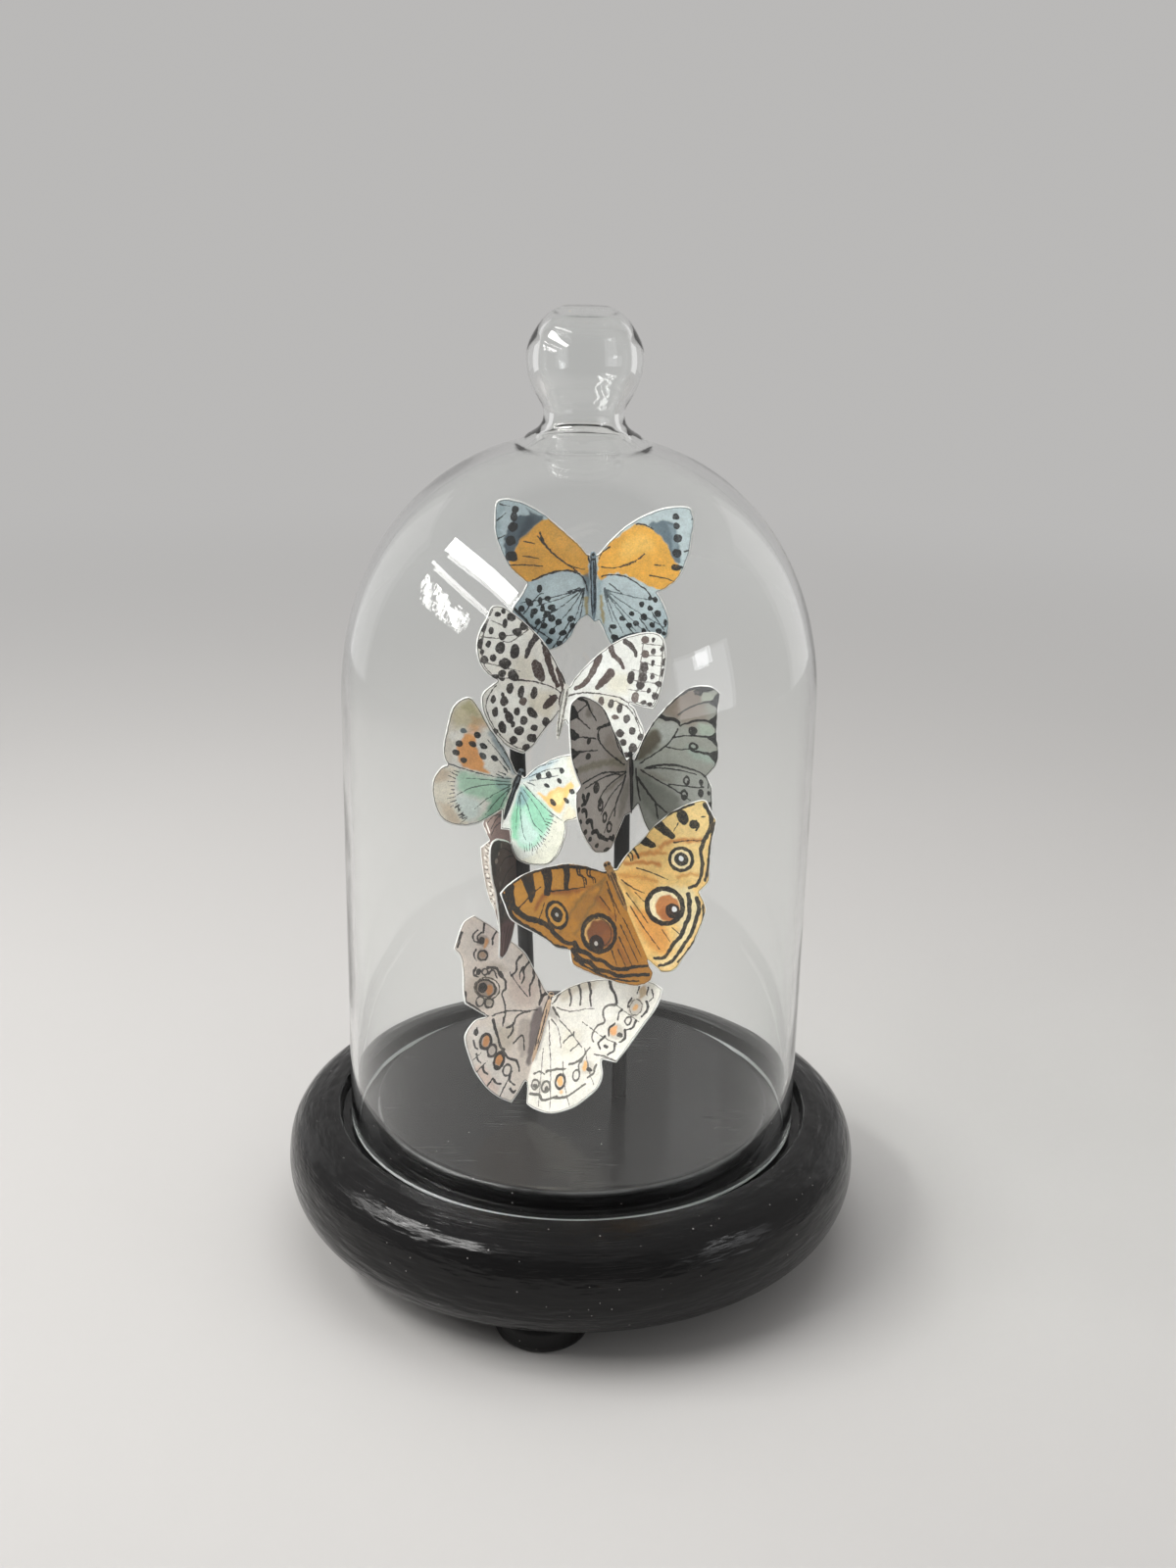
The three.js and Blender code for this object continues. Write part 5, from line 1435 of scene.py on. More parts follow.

# Butterfly 5, middle right: golden wings with a big eyespot on each, black bars along the front edge,
# rust streaks, and black wavy lines that follow the outer edges. Its left half is painted darker, as shade.
paper = printed_paper("paper_gold_print", 0.4, 0.3, 0.08, 0.6, 0.08)
butterfly(
    "butterfly_eyespot", paper, (9.02, -6.2, 112.46), (20.4, -13.2, 88.07),
    (0.023, -0.958, 0.286), (26, 24),
    [
        dict(
            outline=[
                [2, 0], [5.7, -3], [10.7, -6], [16.2, -7.4], [20.6, -8.2], [25.3, -8.4], [30.1, -7.5],
                [32.8, -6.4], [32.9, -3.6], [33, 0.7], [31, 3.8], [27.9, 7.4], [25.6, 10.5], [24, 13.3],
                [21.7, 14.9], [20.5, 15.4], [21.5, 18.8], [19.9, 21.5], [16.5, 24.8], [13.1, 27.8],
                [9.3, 31], [5.3, 33.1], [1.6, 33.3], [0, 31.4], [0.3, 29.2],
            ],
            # Painted shade: this half's ground, washes and eyespots are a darker copy of the right half's.
            ground="b57c28",
            washes=[
                ("c08a35", 3.0, 0.6, [[14, -6], [30, -7], [31, 0], [22, 8], [16, 4]]),
                ("a56b20", 3.0, 0.6, [[2, 16], [9, 20], [10, 28], [3, 30]]),
                ("9a6a2a", 2.5, 0.6, [[2, 3], [10, 2], [16, 8], [12, 10], [4, 8]]),
                ("8a4c1c", 1.2, 0.9, [
                    [25, 1.2, 0.6], [22, -0.4, 0.6], [19.5, -1.1, 0.6], [16, 0.4, 0.6], [11, 2.1, 0.6],
                    [7, 3, 0.6],
                ]),
                ("c9892e", 1.2, 0.7, [[17, 4, 0.7], [12, 2.9, 0.7], [6, 3.6, 0.7]]),
                ("6f5a30", 1.2, 0.7, [[21, 10, 0.35], [16, 6.6, 0.35], [11, 3.9, 0.35], [4, 2.6, 0.35]]),
                ("6f5a30", 1.2, 0.7, [[17.4, 12.4, 0.35], [12, 9, 0.35], [6, 5.2, 0.35], [2.6, 2, 0.35]]),
                ("935420", 1.6, 0.7, [[6.6, 6, 0.5], [5.6, 10, 0.5], [4.4, 13, 0.5]]),
                ("8c4f20", 1.6, 0.6, [[6.8, 20, 0.6], [6.2, 26, 0.6]]),
                ("d8b06b", 0.6, 0.9, [11, 14.4, 4.5, 4.2]),
                ("7d4520", 0.5, 0.97, [10.4, 15.4, 4, 3.95]),
                ("9a5d2c", 1.4, 0.6, [8.4, 17, 1.8, 2]),
                ("cf9a42", 0.4, 0.8, [20, 5.4, 2.6, 3.1]),
            ],
            ink=strokes(
                "1c1815",
                (0.5, [[1, 0.8], [4, -1.4], [9, -4.1], [15, -6.5], [20, -7.7], [25.4, -8.1]]),
                (0.4, [[25.4, -8.1], [29, -7.4], [32, -6.6]]),
            )
            + strokes(
                "1d1a17",
                (0.85, [
                    [30.3, -7], [31, -2.5], [29, 2], [26, 4.5], [23.7, 7], [22.7, 10], [21, 13],
                    [18.9, 14.4],
                ]),
                (0.62, [
                    [32.3, -5.6], [32.3, 0], [30.6, 3.5], [28, 6.5], [26, 9.5], [24.3, 12.4], [21.4, 14.6],
                ]),
                (0.8, [[28.9, -6.8], [29.8, -4.6], [30.8, -1.4]]),
            )
            + strokes(
                "2c241e", (1.8, [[23.6, -7.2], [24, -4.5], [24.5, -2.5]]),
                (0.75, [[24.6, -2.4], [25.4, -1]]),
                (1.5, [[17.7, -6.8], [18.1, -4.8], [19, -2.9], [20.1, -1.1]]),
                (1.05, [[11.8, -5.6], [12.3, -3.6], [13.3, -1.9], [14.2, -0.2]]),
            )
            + strokes(
                "2a221b", (0.18, [[8.7, -3.8], [9.4, -2.2], [8.4, -0.6], [9, 1.5]]),
                (0.17, [[8, -3.5], [8.7, -1.9], [7.7, -0.2], [8.3, 1.4]]),
                (0.16, [[6.3, -2.2], [6.9, -0.8], [5.9, 0.6], [6.3, 2]]),
                (0.16, [[5.5, -1.8], [6.1, -0.4], [5.2, 0.8], [5.5, 2]]),
                (0.12, [[30, -0.5], [25, -2.3], [21, -3.4]]), (0.16, [[19.5, -1.4], [14, 0.5], [9, 1.8]]),
                (0.1, [[26, 5], [22, 1]]),
            )
            + strokes(
                "1d1a17",
                (0.66, [
                    [18.5, 14.4], [18.2, 16.6], [16.2, 18.4], [15.1, 20.6], [12.6, 22.4], [11.1, 25],
                    [8.2, 26.8], [4.6, 27.7], [1, 29],
                ]),
                (0.66, [
                    [19.7, 15.9], [18.9, 19], [16.6, 21], [15.5, 23.5], [12.6, 25.5], [10, 28], [6.2, 29.5],
                    [1.5, 31.4],
                ]),
                (0.26, [[20.4, 18.2], [18.2, 21.5], [14.2, 26], [9.6, 29.5], [5.2, 31.7]]),
            )
            + strokes(
                "4a3019", (0.14, [[9, 20.8], [9.4, 25]]), (0.14, [[7.2, 21.2], [7.1, 26.4]]),
                (0.14, [[5.4, 18.4], [5.2, 26.8]]), (0.13, [[3.6, 15.4], [3.1, 27]]),
                (0.12, [[2, 14], [1.5, 26]]), (0.1, [[4.4, 14], [3.2, 10], [3, 5]]),
                (0.14, [[2.2, 3], [2.6, 8], [2.4, 13]]), (0.12, [[6, 6], [4.6, 11]]),
            )
            + [
                ("ring", "1a1715", [20, 5.4, 2.95, 3.6, 0.36]), ("dot", "1a1715", [20, 5.3, 1.65, 2]),
                ("ring", "1a1715", [10.6, 15, 5, 5, 0.52]), ("dot", "1c1613", [12.5, 17.2, 2.25, 2.3]),
                ("ring", "6b4a22", [10.9, 14.8, 4.15, 4, 0.1]),
            ],
            # The pupils are painted grey here, as shade.
            light=[
                ("dot", "b4b2ae", [20, 5.3, 0.55, 0.6]), ("dot", "c4c0ba", [12.6, 17.1, 0.6, 0.65]),
                ("dot", "8f6a3a", [24, -4.6, 0.01, 0.01]),
            ],
        ),
        dict(
            outline=[
                [2.1, 1], [6.1, -1.6], [11.9, -4], [17.7, -6.5], [23.3, -8.2], [28.2, -8.7], [32.6, -8.5],
                [34.3, -7.6], [34.5, -3.3], [34.5, -1.3], [30.8, 4], [28.3, 8.6], [25.9, 13], [22.2, 14.8],
                [22.2, 18.3], [21.4, 20.7], [17.9, 24.4], [14.4, 27.6], [10.2, 30.3], [6.2, 32.8],
                [2.3, 32.1], [0.7, 28.9],
            ],
            ground="ecc67c",
            washes=[
                ("edd08e", 3.0, 0.8, [
                    [16, -7], [33, -9], [34.6, -4], [30, 3], [26, 9], [22, 12], [20, 2], [22, -3],
                ]),
                ("d98f38", 2.5, 0.8, [[1, 12], [6, 15], [9, 22], [6, 28], [2, 24]]),
                ("e3a955", 2.5, 0.7, [[1.5, 2], [8, 3], [12, 8], [7, 12], [3, 9]]),
                ("eedfb0", 2.5, 0.85, [[12, 10], [20, 13], [20, 20], [14, 26], [9, 27], [13, 21]]),
                ("f2dba6", 2.0, 0.7, [[2, 28], [8, 28.6], [12, 27], [10, 30], [4, 32]]),
                ("c9782f", 1.0, 0.9, [[5.2, 0.4, 0.55], [9, 1.4, 0.55], [12, 2.6, 0.55], [14.6, 4, 0.55]]),
                ("cd8238", 1.0, 0.85, [
                    [8, -0.4, 0.55], [11.7, -0.2, 0.55], [15, 0.6, 0.55], [17.6, 1.6, 0.55],
                ]),
                ("c87f3c", 1.0, 0.9, [
                    [16.6, -0.2, 0.6], [20, -0.9, 0.6], [24, 0.2, 0.6], [28.4, 1.8, 0.6],
                ]),
                ("d08d42", 1.0, 0.8, [[2.6, 3, 0.5], [7, 5, 0.5], [12, 8, 0.5]]),
                ("cf8a3e", 1.0, 0.8, [[17.8, 9, 0.45], [21, 9.2, 0.45], [23.8, 10.4, 0.45]]),
                ("f6e9c0", 0.5, 0.95, [10.7, 14.6, 4.7, 4.4]),
                ("c47a3c", 0.45, 0.97, [11.7, 16.1, 3.6, 3.75]),
                ("a9602c", 1.2, 0.6, [10.4, 17.4, 1.6, 2]),
                ("f3e2b4", 0.4, 0.9, [21, 4.7, 3, 2.9]),
                ("8a6b3c", 1.4, 0.5, [[2, 5, 0.5], [3.4, 9, 0.5], [3.4, 14, 0.5]]),
            ],
            ink=strokes(
                "1b1815",
                (0.42, [
                    [2.2, 0.9], [5.2, -1.9], [9.7, -4.1], [14.7, -5.8], [20.2, -7.5], [25.7, -8.2],
                    [30.7, -8.1],
                ]),
            )
            + strokes(
                "1d1a17", (0.18, [[7.5, -2.9], [8.1, -1.2], [7.7, 0.3]]),
                (0.18, [[6.6, -2.4], [7.2, -0.8], [7, 0.4]]), (0.4, [[9, -3.4], [9.5, -1.4], [9.5, 0.2]]),
                (1.4, [[12.4, -4.6], [13.5, -3.1], [14.9, -1.7]]),
                (1.4, [[18.6, -6.9], [19.5, -4.9], [20.5, -3.2], [21.3, -2.1]]),
                (0.1, [[24.4, -4.8], [22.2, -3.2]]), (0.14, [[31.2, -4.1], [32.2, -3.8]]),
                (0.15, [[28.2, -1.2], [29.6, -2.2], [29.5, -3.8]]),
            )
            + [("dot", "1e1a17", [26.2, -5.9, 1.5, 2.1]), ("dot", "1e1a17", [28.2, -3, 1.2, 1.2])]
            + strokes(
                "1d1a17",
                (0.62, [
                    [33.4, -6.8], [33.8, -3.5], [32.3, -0.5], [29.3, 2.1], [27.2, 4.5], [26.3, 7.5],
                    [24.4, 10.8], [22.2, 12.7], [19.8, 12.7],
                ]),
                (0.48, [[34.2, -1], [30.8, 3.6], [28.8, 6.6], [26.8, 10], [25, 12.4]]),
            )
            + strokes(
                "1d1a17",
                (0.62, [
                    [18.9, 14.4], [18.4, 16.4], [17.6, 17.8], [16.8, 19.8], [14.3, 22.2], [12, 24.5],
                    [9.4, 25.6], [7.2, 27.2], [4.8, 28.5], [2.2, 27.8],
                ]),
                (0.56, [
                    [20.7, 16.2], [20.2, 19], [18.6, 20.9], [16.9, 22.9], [14.9, 25], [11.8, 27], [8.9, 29],
                    [5.8, 30.4], [2.4, 30.2],
                ]),
                (0.2, [[21.6, 18.4], [20, 22], [16.6, 25.5], [12.8, 28.4], [8, 31]]),
            )
            + strokes(
                "4c3018", (0.14, [[21, -0.2], [25, 0.6], [29, 2.2]]),
                (0.12, [[7.8, 2.6], [11, 5], [15, 8.6]]), (0.1, [[7.6, 21], [8.4, 25]]),
                (0.13, [[10.6, 21.4], [12, 24]]), (0.14, [[2.2, 4.2], [4.6, 7.6], [7, 9.8]]),
                (0.14, [[2, 8], [3.4, 13], [4.4, 18]]), (0.12, [[1.6, 12], [2.8, 19], [4.6, 26]]),
                (0.1, [[4.4, 8.6], [6, 12]]),
            )
            + [
                ("ring", "1a1715", [21, 4.7, 3.3, 3.1, 0.38]), ("dot", "1a1715", [21, 4.7, 1.9, 1.85]),
                ("ring", "1a1715", [11.1, 15.2, 5.2, 4.9, 0.62]), ("dot", "1a1614", [12.7, 17.2, 2, 2.05]),
            ],
            light=[("dot", "e9ebec", [21.1, 4.5, 0.7, 0.75]), ("dot", "e9ebec", [13.4, 16.9, 0.75, 0.8])],
        ),
    ],
    body=(
        1.5, -2, 13, "96703f",
        strokes(
            "5c4026", (0.16, [[-0.9, 1.4], [-1.2, 5], [-0.9, 10]]),
            (0.14, [[-0.3, 2], [-0.4, 6], [-0.2, 11]]), (0.14, [[0.4, 1.4], [0.4, 6], [0.3, 11]]),
            (0.16, [[1, 2], [1.1, 6], [0.7, 10]]),
        )
        + dots("3b2c20", [[-0.5, -1.2, 0.35, 0.4], [0.5, -1.2, 0.35, 0.4]]),
    ),
    bow=(0.4, 0.5), seed=53,
)

# Butterfly 6, left: turned away, so that it is seen almost edge-on: dark brown with a lighter speckled
# margin that ends in the white cut edge. Both of its halves point left from the fold; the right one is
# painted darker, as shade.
paper = printed_paper("paper_brown_print", 0.5, 0.5, 0.1, 0.15)
butterfly(
    "butterfly_brown", paper, (-17.44, 2.7, 119.92), (-16.73, 2.7, 92.63),
    (0.053, -0.999, 0.001), (-57, 66),
    [
        dict(
            outline=[
                [1.3, -4.9], [8.4, -4.1], [14.2, -1.3], [16.5, 2.8], [15, 4.9], [13, 6.8], [14.1, 7.6],
                [17.9, 10.3], [17.3, 15.3], [15.8, 21.5], [13.9, 25.8], [11.4, 28.2], [10, 32.2],
                [6.3, 31.3],
            ],
            ground="6f5c57",
            washes=[
                ("5f4b47", 2.5, 0.7, [[0, -2], [8, -3], [10, 6], [6, 30], [0, 28]]),
                ("8d7a72", 1.4, 0.8, [[9, -3.4], [14, -1], [15.4, 2.6], [12.6, 5.4], [10.6, 1]]),
                ("bdb2a8", 1.0, 0.95, [
                    [12, 7.4], [14.6, 8], [17.8, 10.6], [17.2, 16], [15.4, 22], [13.2, 26.4], [10.8, 28],
                    [10.6, 22], [11.6, 16], [12.2, 11],
                ]),
                ("8a7d74", 1.0, 0.7, [
                    [16.2, 10], [17.8, 11], [17, 17], [15.2, 22.4], [14.8, 20], [16, 15],
                ]),
                ("6b4e4b", 1.5, 0.8, [[2, 28], [10, 28.6], [9.6, 32], [5, 31]]),
            ],
            ink=strokes(
                "3b2f2c", (0.14, [[2, -3.6], [8, -1.6], [12, 3]]), (0.14, [[4, -3.4], [10, -1.6], [14, 2]]),
                (0.12, [[6, -1], [10, 2], [12, 5]]), (0.16, [[1.6, 6], [6, 12], [9, 20]]),
                (0.16, [[1.4, 12], [5, 20], [7, 28]]),
            )
            + ticks("6b5f58", 0.16, [[12.6, 8], [14.4, 14], [13, 20], [11, 26]], 16, 2.2),
            light=strokes(
                "e6e2dc", (0.42, [[13, 4.4], [13.9, 3], [14.6, 1.9]]), (0.36, [[14.4, 5], [15.4, 3.6]])
            )
            + dots("ddd8d0", [
                [13.2, 9.4, 0.7, 0.5], [15, 10.6, 0.8, 0.5], [13.4, 11.8, 0.8, 0.5], [15.6, 13, 0.7, 0.5],
                [13.2, 14, 0.9, 0.5], [15, 15.6, 0.8, 0.5], [12.6, 16.6, 0.8, 0.5], [14.4, 18, 0.8, 0.5],
                [12.2, 19.4, 0.8, 0.5], [13.8, 20.6, 0.8, 0.5], [12, 22, 0.7, 0.5], [13.2, 23.4, 0.7, 0.5],
                [11.6, 24.6, 0.7, 0.5], [12.2, 26.2, 0.6, 0.4],
            ]),
        ),
        dict(
            outline=[
                [0.6, 5.6], [2.9, 3.1], [6.2, 0.9], [11.3, -1.3], [14.6, -1.6], [16.2, 0.1], [16.4, 4.1],
                [15.3, 9.7], [13.5, 13.8], [12.2, 20.1], [11.8, 24.7], [12.1, 29.6], [12.5, 33.4],
                [10.7, 35], [7.3, 34.3], [4.1, 31.7], [2.5, 29.3], [1.4, 27.4],
            ],
            # Painted shade: the same print as the left half, painted darker, with its pale marks dimmed to
            # brown.
            ground="4b3c35",
            washes=[
                ("2a2421", 1.6, 0.95, [
                    [9, -0.6], [14, -1.2], [15.8, 2], [15.6, 6], [13.4, 9], [12.6, 5], [10, 1.6],
                ]),
                ("5a4a41", 2.5, 0.7, [[5, 4], [10, 5], [10.6, 14], [6, 16]]),
                ("2c2522", 2.0, 0.7, [[9.6, 16], [12.4, 13], [12, 22], [10.4, 24], [8, 20]]),
                ("6c4b4a", 1.6, 0.95, [
                    [2, 26.6], [7, 24.6], [11.4, 25.6], [12.4, 32], [10.6, 35], [6, 34],
                ]),
                ("8a6763", 1.2, 0.6, [[9, 27], [11.6, 27], [12, 32], [10, 34]]),
            ],
            ink=strokes(
                "241d1b", (0.14, [[2, 7], [7, 6], [12, 8]]), (0.14, [[2, 10], [7, 11], [11, 15]]),
                (0.14, [[2, 14], [6, 17], [10, 22]]), (0.12, [[3, 5.6], [8, 2.6], [12, 2]]),
                (0.16, [[4, 27.4], [6.4, 30], [7.4, 33.6]]), (0.16, [[6.4, 26.6], [8.4, 30], [9, 34]]),
                (0.14, [[8.6, 26], [10.4, 30], [10.8, 34]]), (0.14, [[10.6, 26], [11.6, 30]]),
            ),
            # These pale marks are painted dim, as shade.
            light=dots("8f8076", [[12.7, 4.8, 1, 0.75], [11, 3.2, 0.45, 0.55]])
            + dots("6f6157", [
                [9.4, 1.4, 0.35, 0.8], [10.7, 12.3, 0.55, 0.8], [10.2, 8, 0.3, 0.8], [10.6, 17.6, 0.4, 0.8],
            ]),
        ),
    ],
    one_side=True, bow=(0.3, 0.3), seed=61,
)

# Butterfly 7, lowest: warm white wings with sketchy dark waves, rows of ocelli, some with orange
# centres, and a broad dark streak beside the body. Cut with straight snips.
paper = printed_paper("paper_pale_print", 0.36, 0.34, 0.12, 0.6, 0.08)
butterfly(
    "butterfly_pale", paper, (-6.64, 0.8, 70.15), (-12.79, -10.7, 48.4),
    (0.028, -0.887, 0.461), (23, 34),
    [
        dict(
            outline=[
                [1.9, -1.1], [5.9, -4.8], [11.2, -9.7], [15.8, -11.6], [20.4, -13.3], [24.9, -14.7],
                [29.3, -15.6], [31.3, -13.6], [32.1, -11.1], [32.4, -5], [29.6, -2.9], [27.8, 1.1],
                [26.6, 5.1], [24.8, 8.9], [20.9, 9.8], [17.2, 10.6], [20.4, 12.5], [22.2, 16.4],
                [21.8, 18.9], [19.5, 22.4], [16.1, 26.5], [11.4, 29.9], [6.9, 31.6], [3, 32.1], [1.8, 28.9],
                [0.7, 25.2],
            ],
            ground="e3d7cd",
            washes=[
                ("e4dbd4", 3.0, 0.7, [[12, -9], [20, -13], [28, -14], [29, -8], [22, -5], [14, -3]]),
                ("d0bab0", 3.0, 0.6, [[4, -1], [12, -4], [13, 3], [6, 5]]),
                ("b0a193", 2.0, 0.6, [[15, -4], [21, -4], [26, 4], [25, 9], [18, 8.6], [20, 2]]),
                ("d9cfc6", 2.0, 0.8, [[23, -10], [30, -12], [31, -6], [26, -3], [23, -6]]),
                ("b9ac99", 2.0, 0.6, [[8, 11], [14, 13], [14, 18], [8, 18]]),
                ("e6ded7", 2.5, 0.8, [[14, 13], [21, 15], [18, 24], [10, 30], [4, 31], [6, 24], [12, 20]]),
                ("d1a08a", 2.5, 0.4, [[15, 24], [17, 26], [11, 30], [8, 29]]),
                ("605355", 0.9, 0.85, [
                    [3.5, 4], [1.4, 4.4], [0.3, 8], [0.2, 15], [0.9, 20.4], [1.8, 20], [2.8, 15], [4, 9],
                ]),
                ("8e7f77", 1.4, 0.5, [[4, 8], [7, 9], [6.6, 14], [4, 19], [2.6, 17]]),
                ("7a695c", 1.0, 0.75, [19.9, 3.2, 3.4, 2.4]), ("7a695c", 1.0, 0.6, [24.6, -9.4, 2, 1.8]),
                ("857568", 1.0, 0.6, [23.6, -5.5, 1.8, 1.8]), ("7d6c60", 0.8, 0.6, [15.7, 17.4, 2, 2.5]),
                ("7d6c60", 0.8, 0.6, [10.2, 21.6, 1.8, 2.6]), ("8d7d70", 0.8, 0.5, [13.1, 19.4, 1.6, 2]),
                ("c0834f", 0.4, 0.95, [18.8, 3.2, 1, 1.4]), ("c98a52", 0.4, 0.95, [15.6, 17.2, 1.2, 1.7]),
                ("cc8c50", 0.4, 0.95, [10.2, 21.2, 1.05, 1.7]),
                ("d8a06a", 0.5, 0.9, [23.6, -9, 0.7, 1.5]), ("a9866d", 0.8, 0.8, [23.6, -5.6, 1, 1]),
                ("8a7f6e", 1.0, 0.7, [18, 6.6, 1.6, 1.2]),
            ],
            ink=strokes(
                "4a4240", (0.32, [[12.1, -8.9], [13.1, -6.4], [12.5, -4.2], [13.6, -2.2]]),
                (0.28, [[9.4, -7.6], [10.3, -5], [9.5, -2.8], [9.8, -1]]),
                (0.34, [[7.4, -6], [6.6, -3.4], [7.1, -1], [6.3, 1.6]]),
                (0.26, [[5, -3.6], [3.6, -0.6], [2.5, 2]]), (0.5, [[1.6, -0.4], [2.6, 1], [2.8, 3.4]]),
                (0.22, [[10.6, -5.8], [11.2, -3.8], [10.6, -2]]),
            )
            + strokes(
                "56504d", (0.12, [[14.2, -3.2], [11, -0.5], [7, 2]]),
                (0.16, [[16, 10], [11.4, 7.4], [6.6, 6.2], [3, 4.8]]),
                (0.3, [
                    [21.2, -2.6], [18.5, -3.1], [17, -1.6], [15, -0.6], [14.2, 1.4], [14.8, 3.2],
                    [13.2, 5.8], [12.2, 8.4], [12, 11],
                ]),
                (0.26, [[20.4, -1], [19.2, -2.4], [17.4, -0.4]]), (0.4, [[17, -2.4], [15.4, -0.8]]),
            )
            + strokes(
                "3d3736", (0.42, [[31.6, -9.8], [31.5, -5.6]]),
                (0.24, [[27, -11.8], [28, -10.4], [27.4, -8.8], [26, -8.6]]),
                (0.2, [[25.8, -11.6], [26.6, -10.2], [26, -9]]),
                (0.28, [[21.4, -13.2], [22, -11], [21.6, -9.4]]), (0.24, [[25.6, -14.2], [25.2, -11.6]]),
                (0.2, [[26, -6.6], [26.2, -4.8], [25, -3.6]]),
                (0.3, [[24.6, -1.6], [24.8, 0.2], [23.2, 0.7]]),
                (0.22, [[24.6, 8.2], [22, 8.8], [19, 9.8], [17, 10.4]]), (0.18, [[25.6, 5.6], [24.6, 8]]),
            )
            + [
                ("ring", "45403d", [23.6, -5.5, 1.4, 1.4, 0.22]), ("dot", "37322f", [25, -9.4, 0.8, 1.1]),
                ("dot", "3d3836", [23.4, -0.8, 0.7, 0.9]), ("ring", "5a5350", [21.6, -1.2, 0.8, 0.9, 0.16]),
                ("dot", "2d2826", [21, 3.2, 1.25, 1.45]), ("ring", "554b40", [20, 3.1, 3.1, 2.3, 0.2]),
                ("ring", "6a5f50", [19.6, 3, 3.8, 3, 0.12]), ("ring", "4c463f", [17.8, 6.8, 1.3, 1.3, 0.2]),
                ("ring", "4a4543", [20.6, 7, 1.2, 1.4, 0.16]),
            ]
            + strokes(
                "4f4946", (0.24, [[10.6, 12.2], [9, 10.6], [8.7, 8.6], [7.5, 7.2], [5, 5.8]]),
                (0.22, [[7.4, 15.8], [5.6, 13], [4.6, 14], [3.6, 17]]),
                (0.24, [[9.4, 14.6], [8.6, 12.4], [9.2, 10.4]]),
                (0.42, [[15.2, 11], [13.8, 13.4], [12.4, 15.4], [11, 17.6], [9.6, 18.2]]),
                (0.4, [[10, 18.6], [7.6, 20.2], [5, 20.4], [3.2, 23]]), (0.2, [[12.4, 9.6], [12, 12]]),
            )
            + [
                ("ring", "3f3835", [15.7, 17.4, 1.6, 2.1, 0.34]),
                ("ring", "332d2b", [10.2, 21.6, 1.35, 2.3, 0.36]),
                ("dot", "332d2b", [10.4, 23.6, 0.9, 0.6]), ("ring", "57504d", [13.1, 19.4, 1.3, 1.7, 0.26]),
                ("ring", "625b57", [7, 23.6, 1.2, 1.6, 0.22]), ("dot", "3b3533", [19.3, 15.6, 0.7, 0.9]),
            ]
            + strokes(
                "4a4441", (0.26, [[19.4, 18], [18.4, 19.6], [17.4, 20]]),
                (0.26, [[17.4, 21.4], [16.4, 23], [15.2, 23.6]]),
                (0.3, [[14.4, 24.4], [13.4, 25.8], [12.2, 26]]),
                (0.34, [[10.4, 27], [8.8, 28], [7.8, 27.6]]), (0.3, [[5.8, 24.6], [5.2, 26.4], [3.4, 27]]),
                (0.12, [[15.9, 26.3], [13.6, 22.6]]), (0.2, [[11.6, 29.2], [10.4, 26.6]]),
                (0.14, [[7, 31.2], [5.4, 23.4]]), (0.12, [[17.8, 23.4], [16, 20.6]]),
                (0.3, [[4.6, 28.4], [3.4, 29.2], [2.8, 28.4]]), (0.2, [[19.4, 14.4], [18.6, 15.8]]),
            ),
        ),
        dict(
            outline=[
                [1.3, -0.3], [4.3, -2.9], [8.6, -5.5], [14.4, -7.7], [20.4, -9], [26.2, -9.6],
                [31.5, -10.4], [35.8, -9.2], [35.8, -5.9], [34.9, -2.5], [32.3, 2.7], [29.8, 8.5],
                [27.1, 13.6], [22.7, 13.7], [22.5, 14.6], [23.9, 17.9], [23.4, 21.7], [20.1, 26],
                [16.7, 29.1], [10.8, 31.9], [5.2, 32.1], [1.9, 31.2], [0.9, 27.4],
            ],
            ground="dcd8cf",
            washes=[
                ("b3a796", 1.8, 0.75, [
                    [2.4, -1], [6, -4.2], [12, -6.8], [14.6, -7], [14, -5], [9, -3], [5, 0.6],
                ]),
                ("e4e1da", 3.0, 0.7, [[14, -6], [22, -8], [26, -6], [22, 2], [14, 3]]),
                ("cfc8b6", 2.5, 0.5, [[8, 8], [14, 8], [12, 15], [8, 14]]),
                ("b39a78", 0.9, 0.9, [29.8, -7, 1.2, 2.1]),
                ("a59a8c", 1.0, 0.6, [28.8, -2.5, 2.4, 2.6]), ("a59a8c", 1.0, 0.55, [24.8, 5.4, 2.6, 2.2]),
                ("aaa093", 1.0, 0.5, [11, 22.8, 2, 2.4]), ("aaa093", 1.0, 0.45, [18.4, 17, 2.4, 2]),
                ("aaa093", 1.0, 0.4, [5, 25.4, 3, 1.8]), ("d8a266", 0.5, 0.95, [28.8, -2.4, 0.8, 0.9]),
                ("dd9e62", 0.5, 0.95, [23.9, 5.2, 1.25, 1.3]),
                ("e2aa66", 0.5, 0.95, [17.7, 16.7, 0.75, 1.4]),
                ("e0aa64", 0.5, 0.95, [10.9, 22.5, 0.95, 1.4]),
                ("e0b070", 0.6, 0.8, [12.2, 25.4, 0.7, 0.6]),
                ("8b817b", 1.0, 0.7, [[0.6, 2.6], [3, 3.6], [4.6, 6.4], [2.4, 6], [0.8, 5.4]]),
                ("7d7370", 0.9, 0.6, [[0.3, 6], [1.4, 6], [1.6, 14], [0.9, 19], [0.3, 14]]),
                ("cbb79c", 0.8, 0.7, [[0.1, 6], [0.7, 6], [0.7, 14], [0.1, 16]]),
            ],
            ink=strokes(
                "4c4540", (0.34, [[5.8, -3], [7.2, -0.6], [7.4, 1.4]]),
                (0.34, [[8.6, -4.8], [10, -2.6], [10.7, 0.6]]),
                (0.38, [[11.4, -6.4], [13, -4], [13.4, -2], [14.4, 0.2]]),
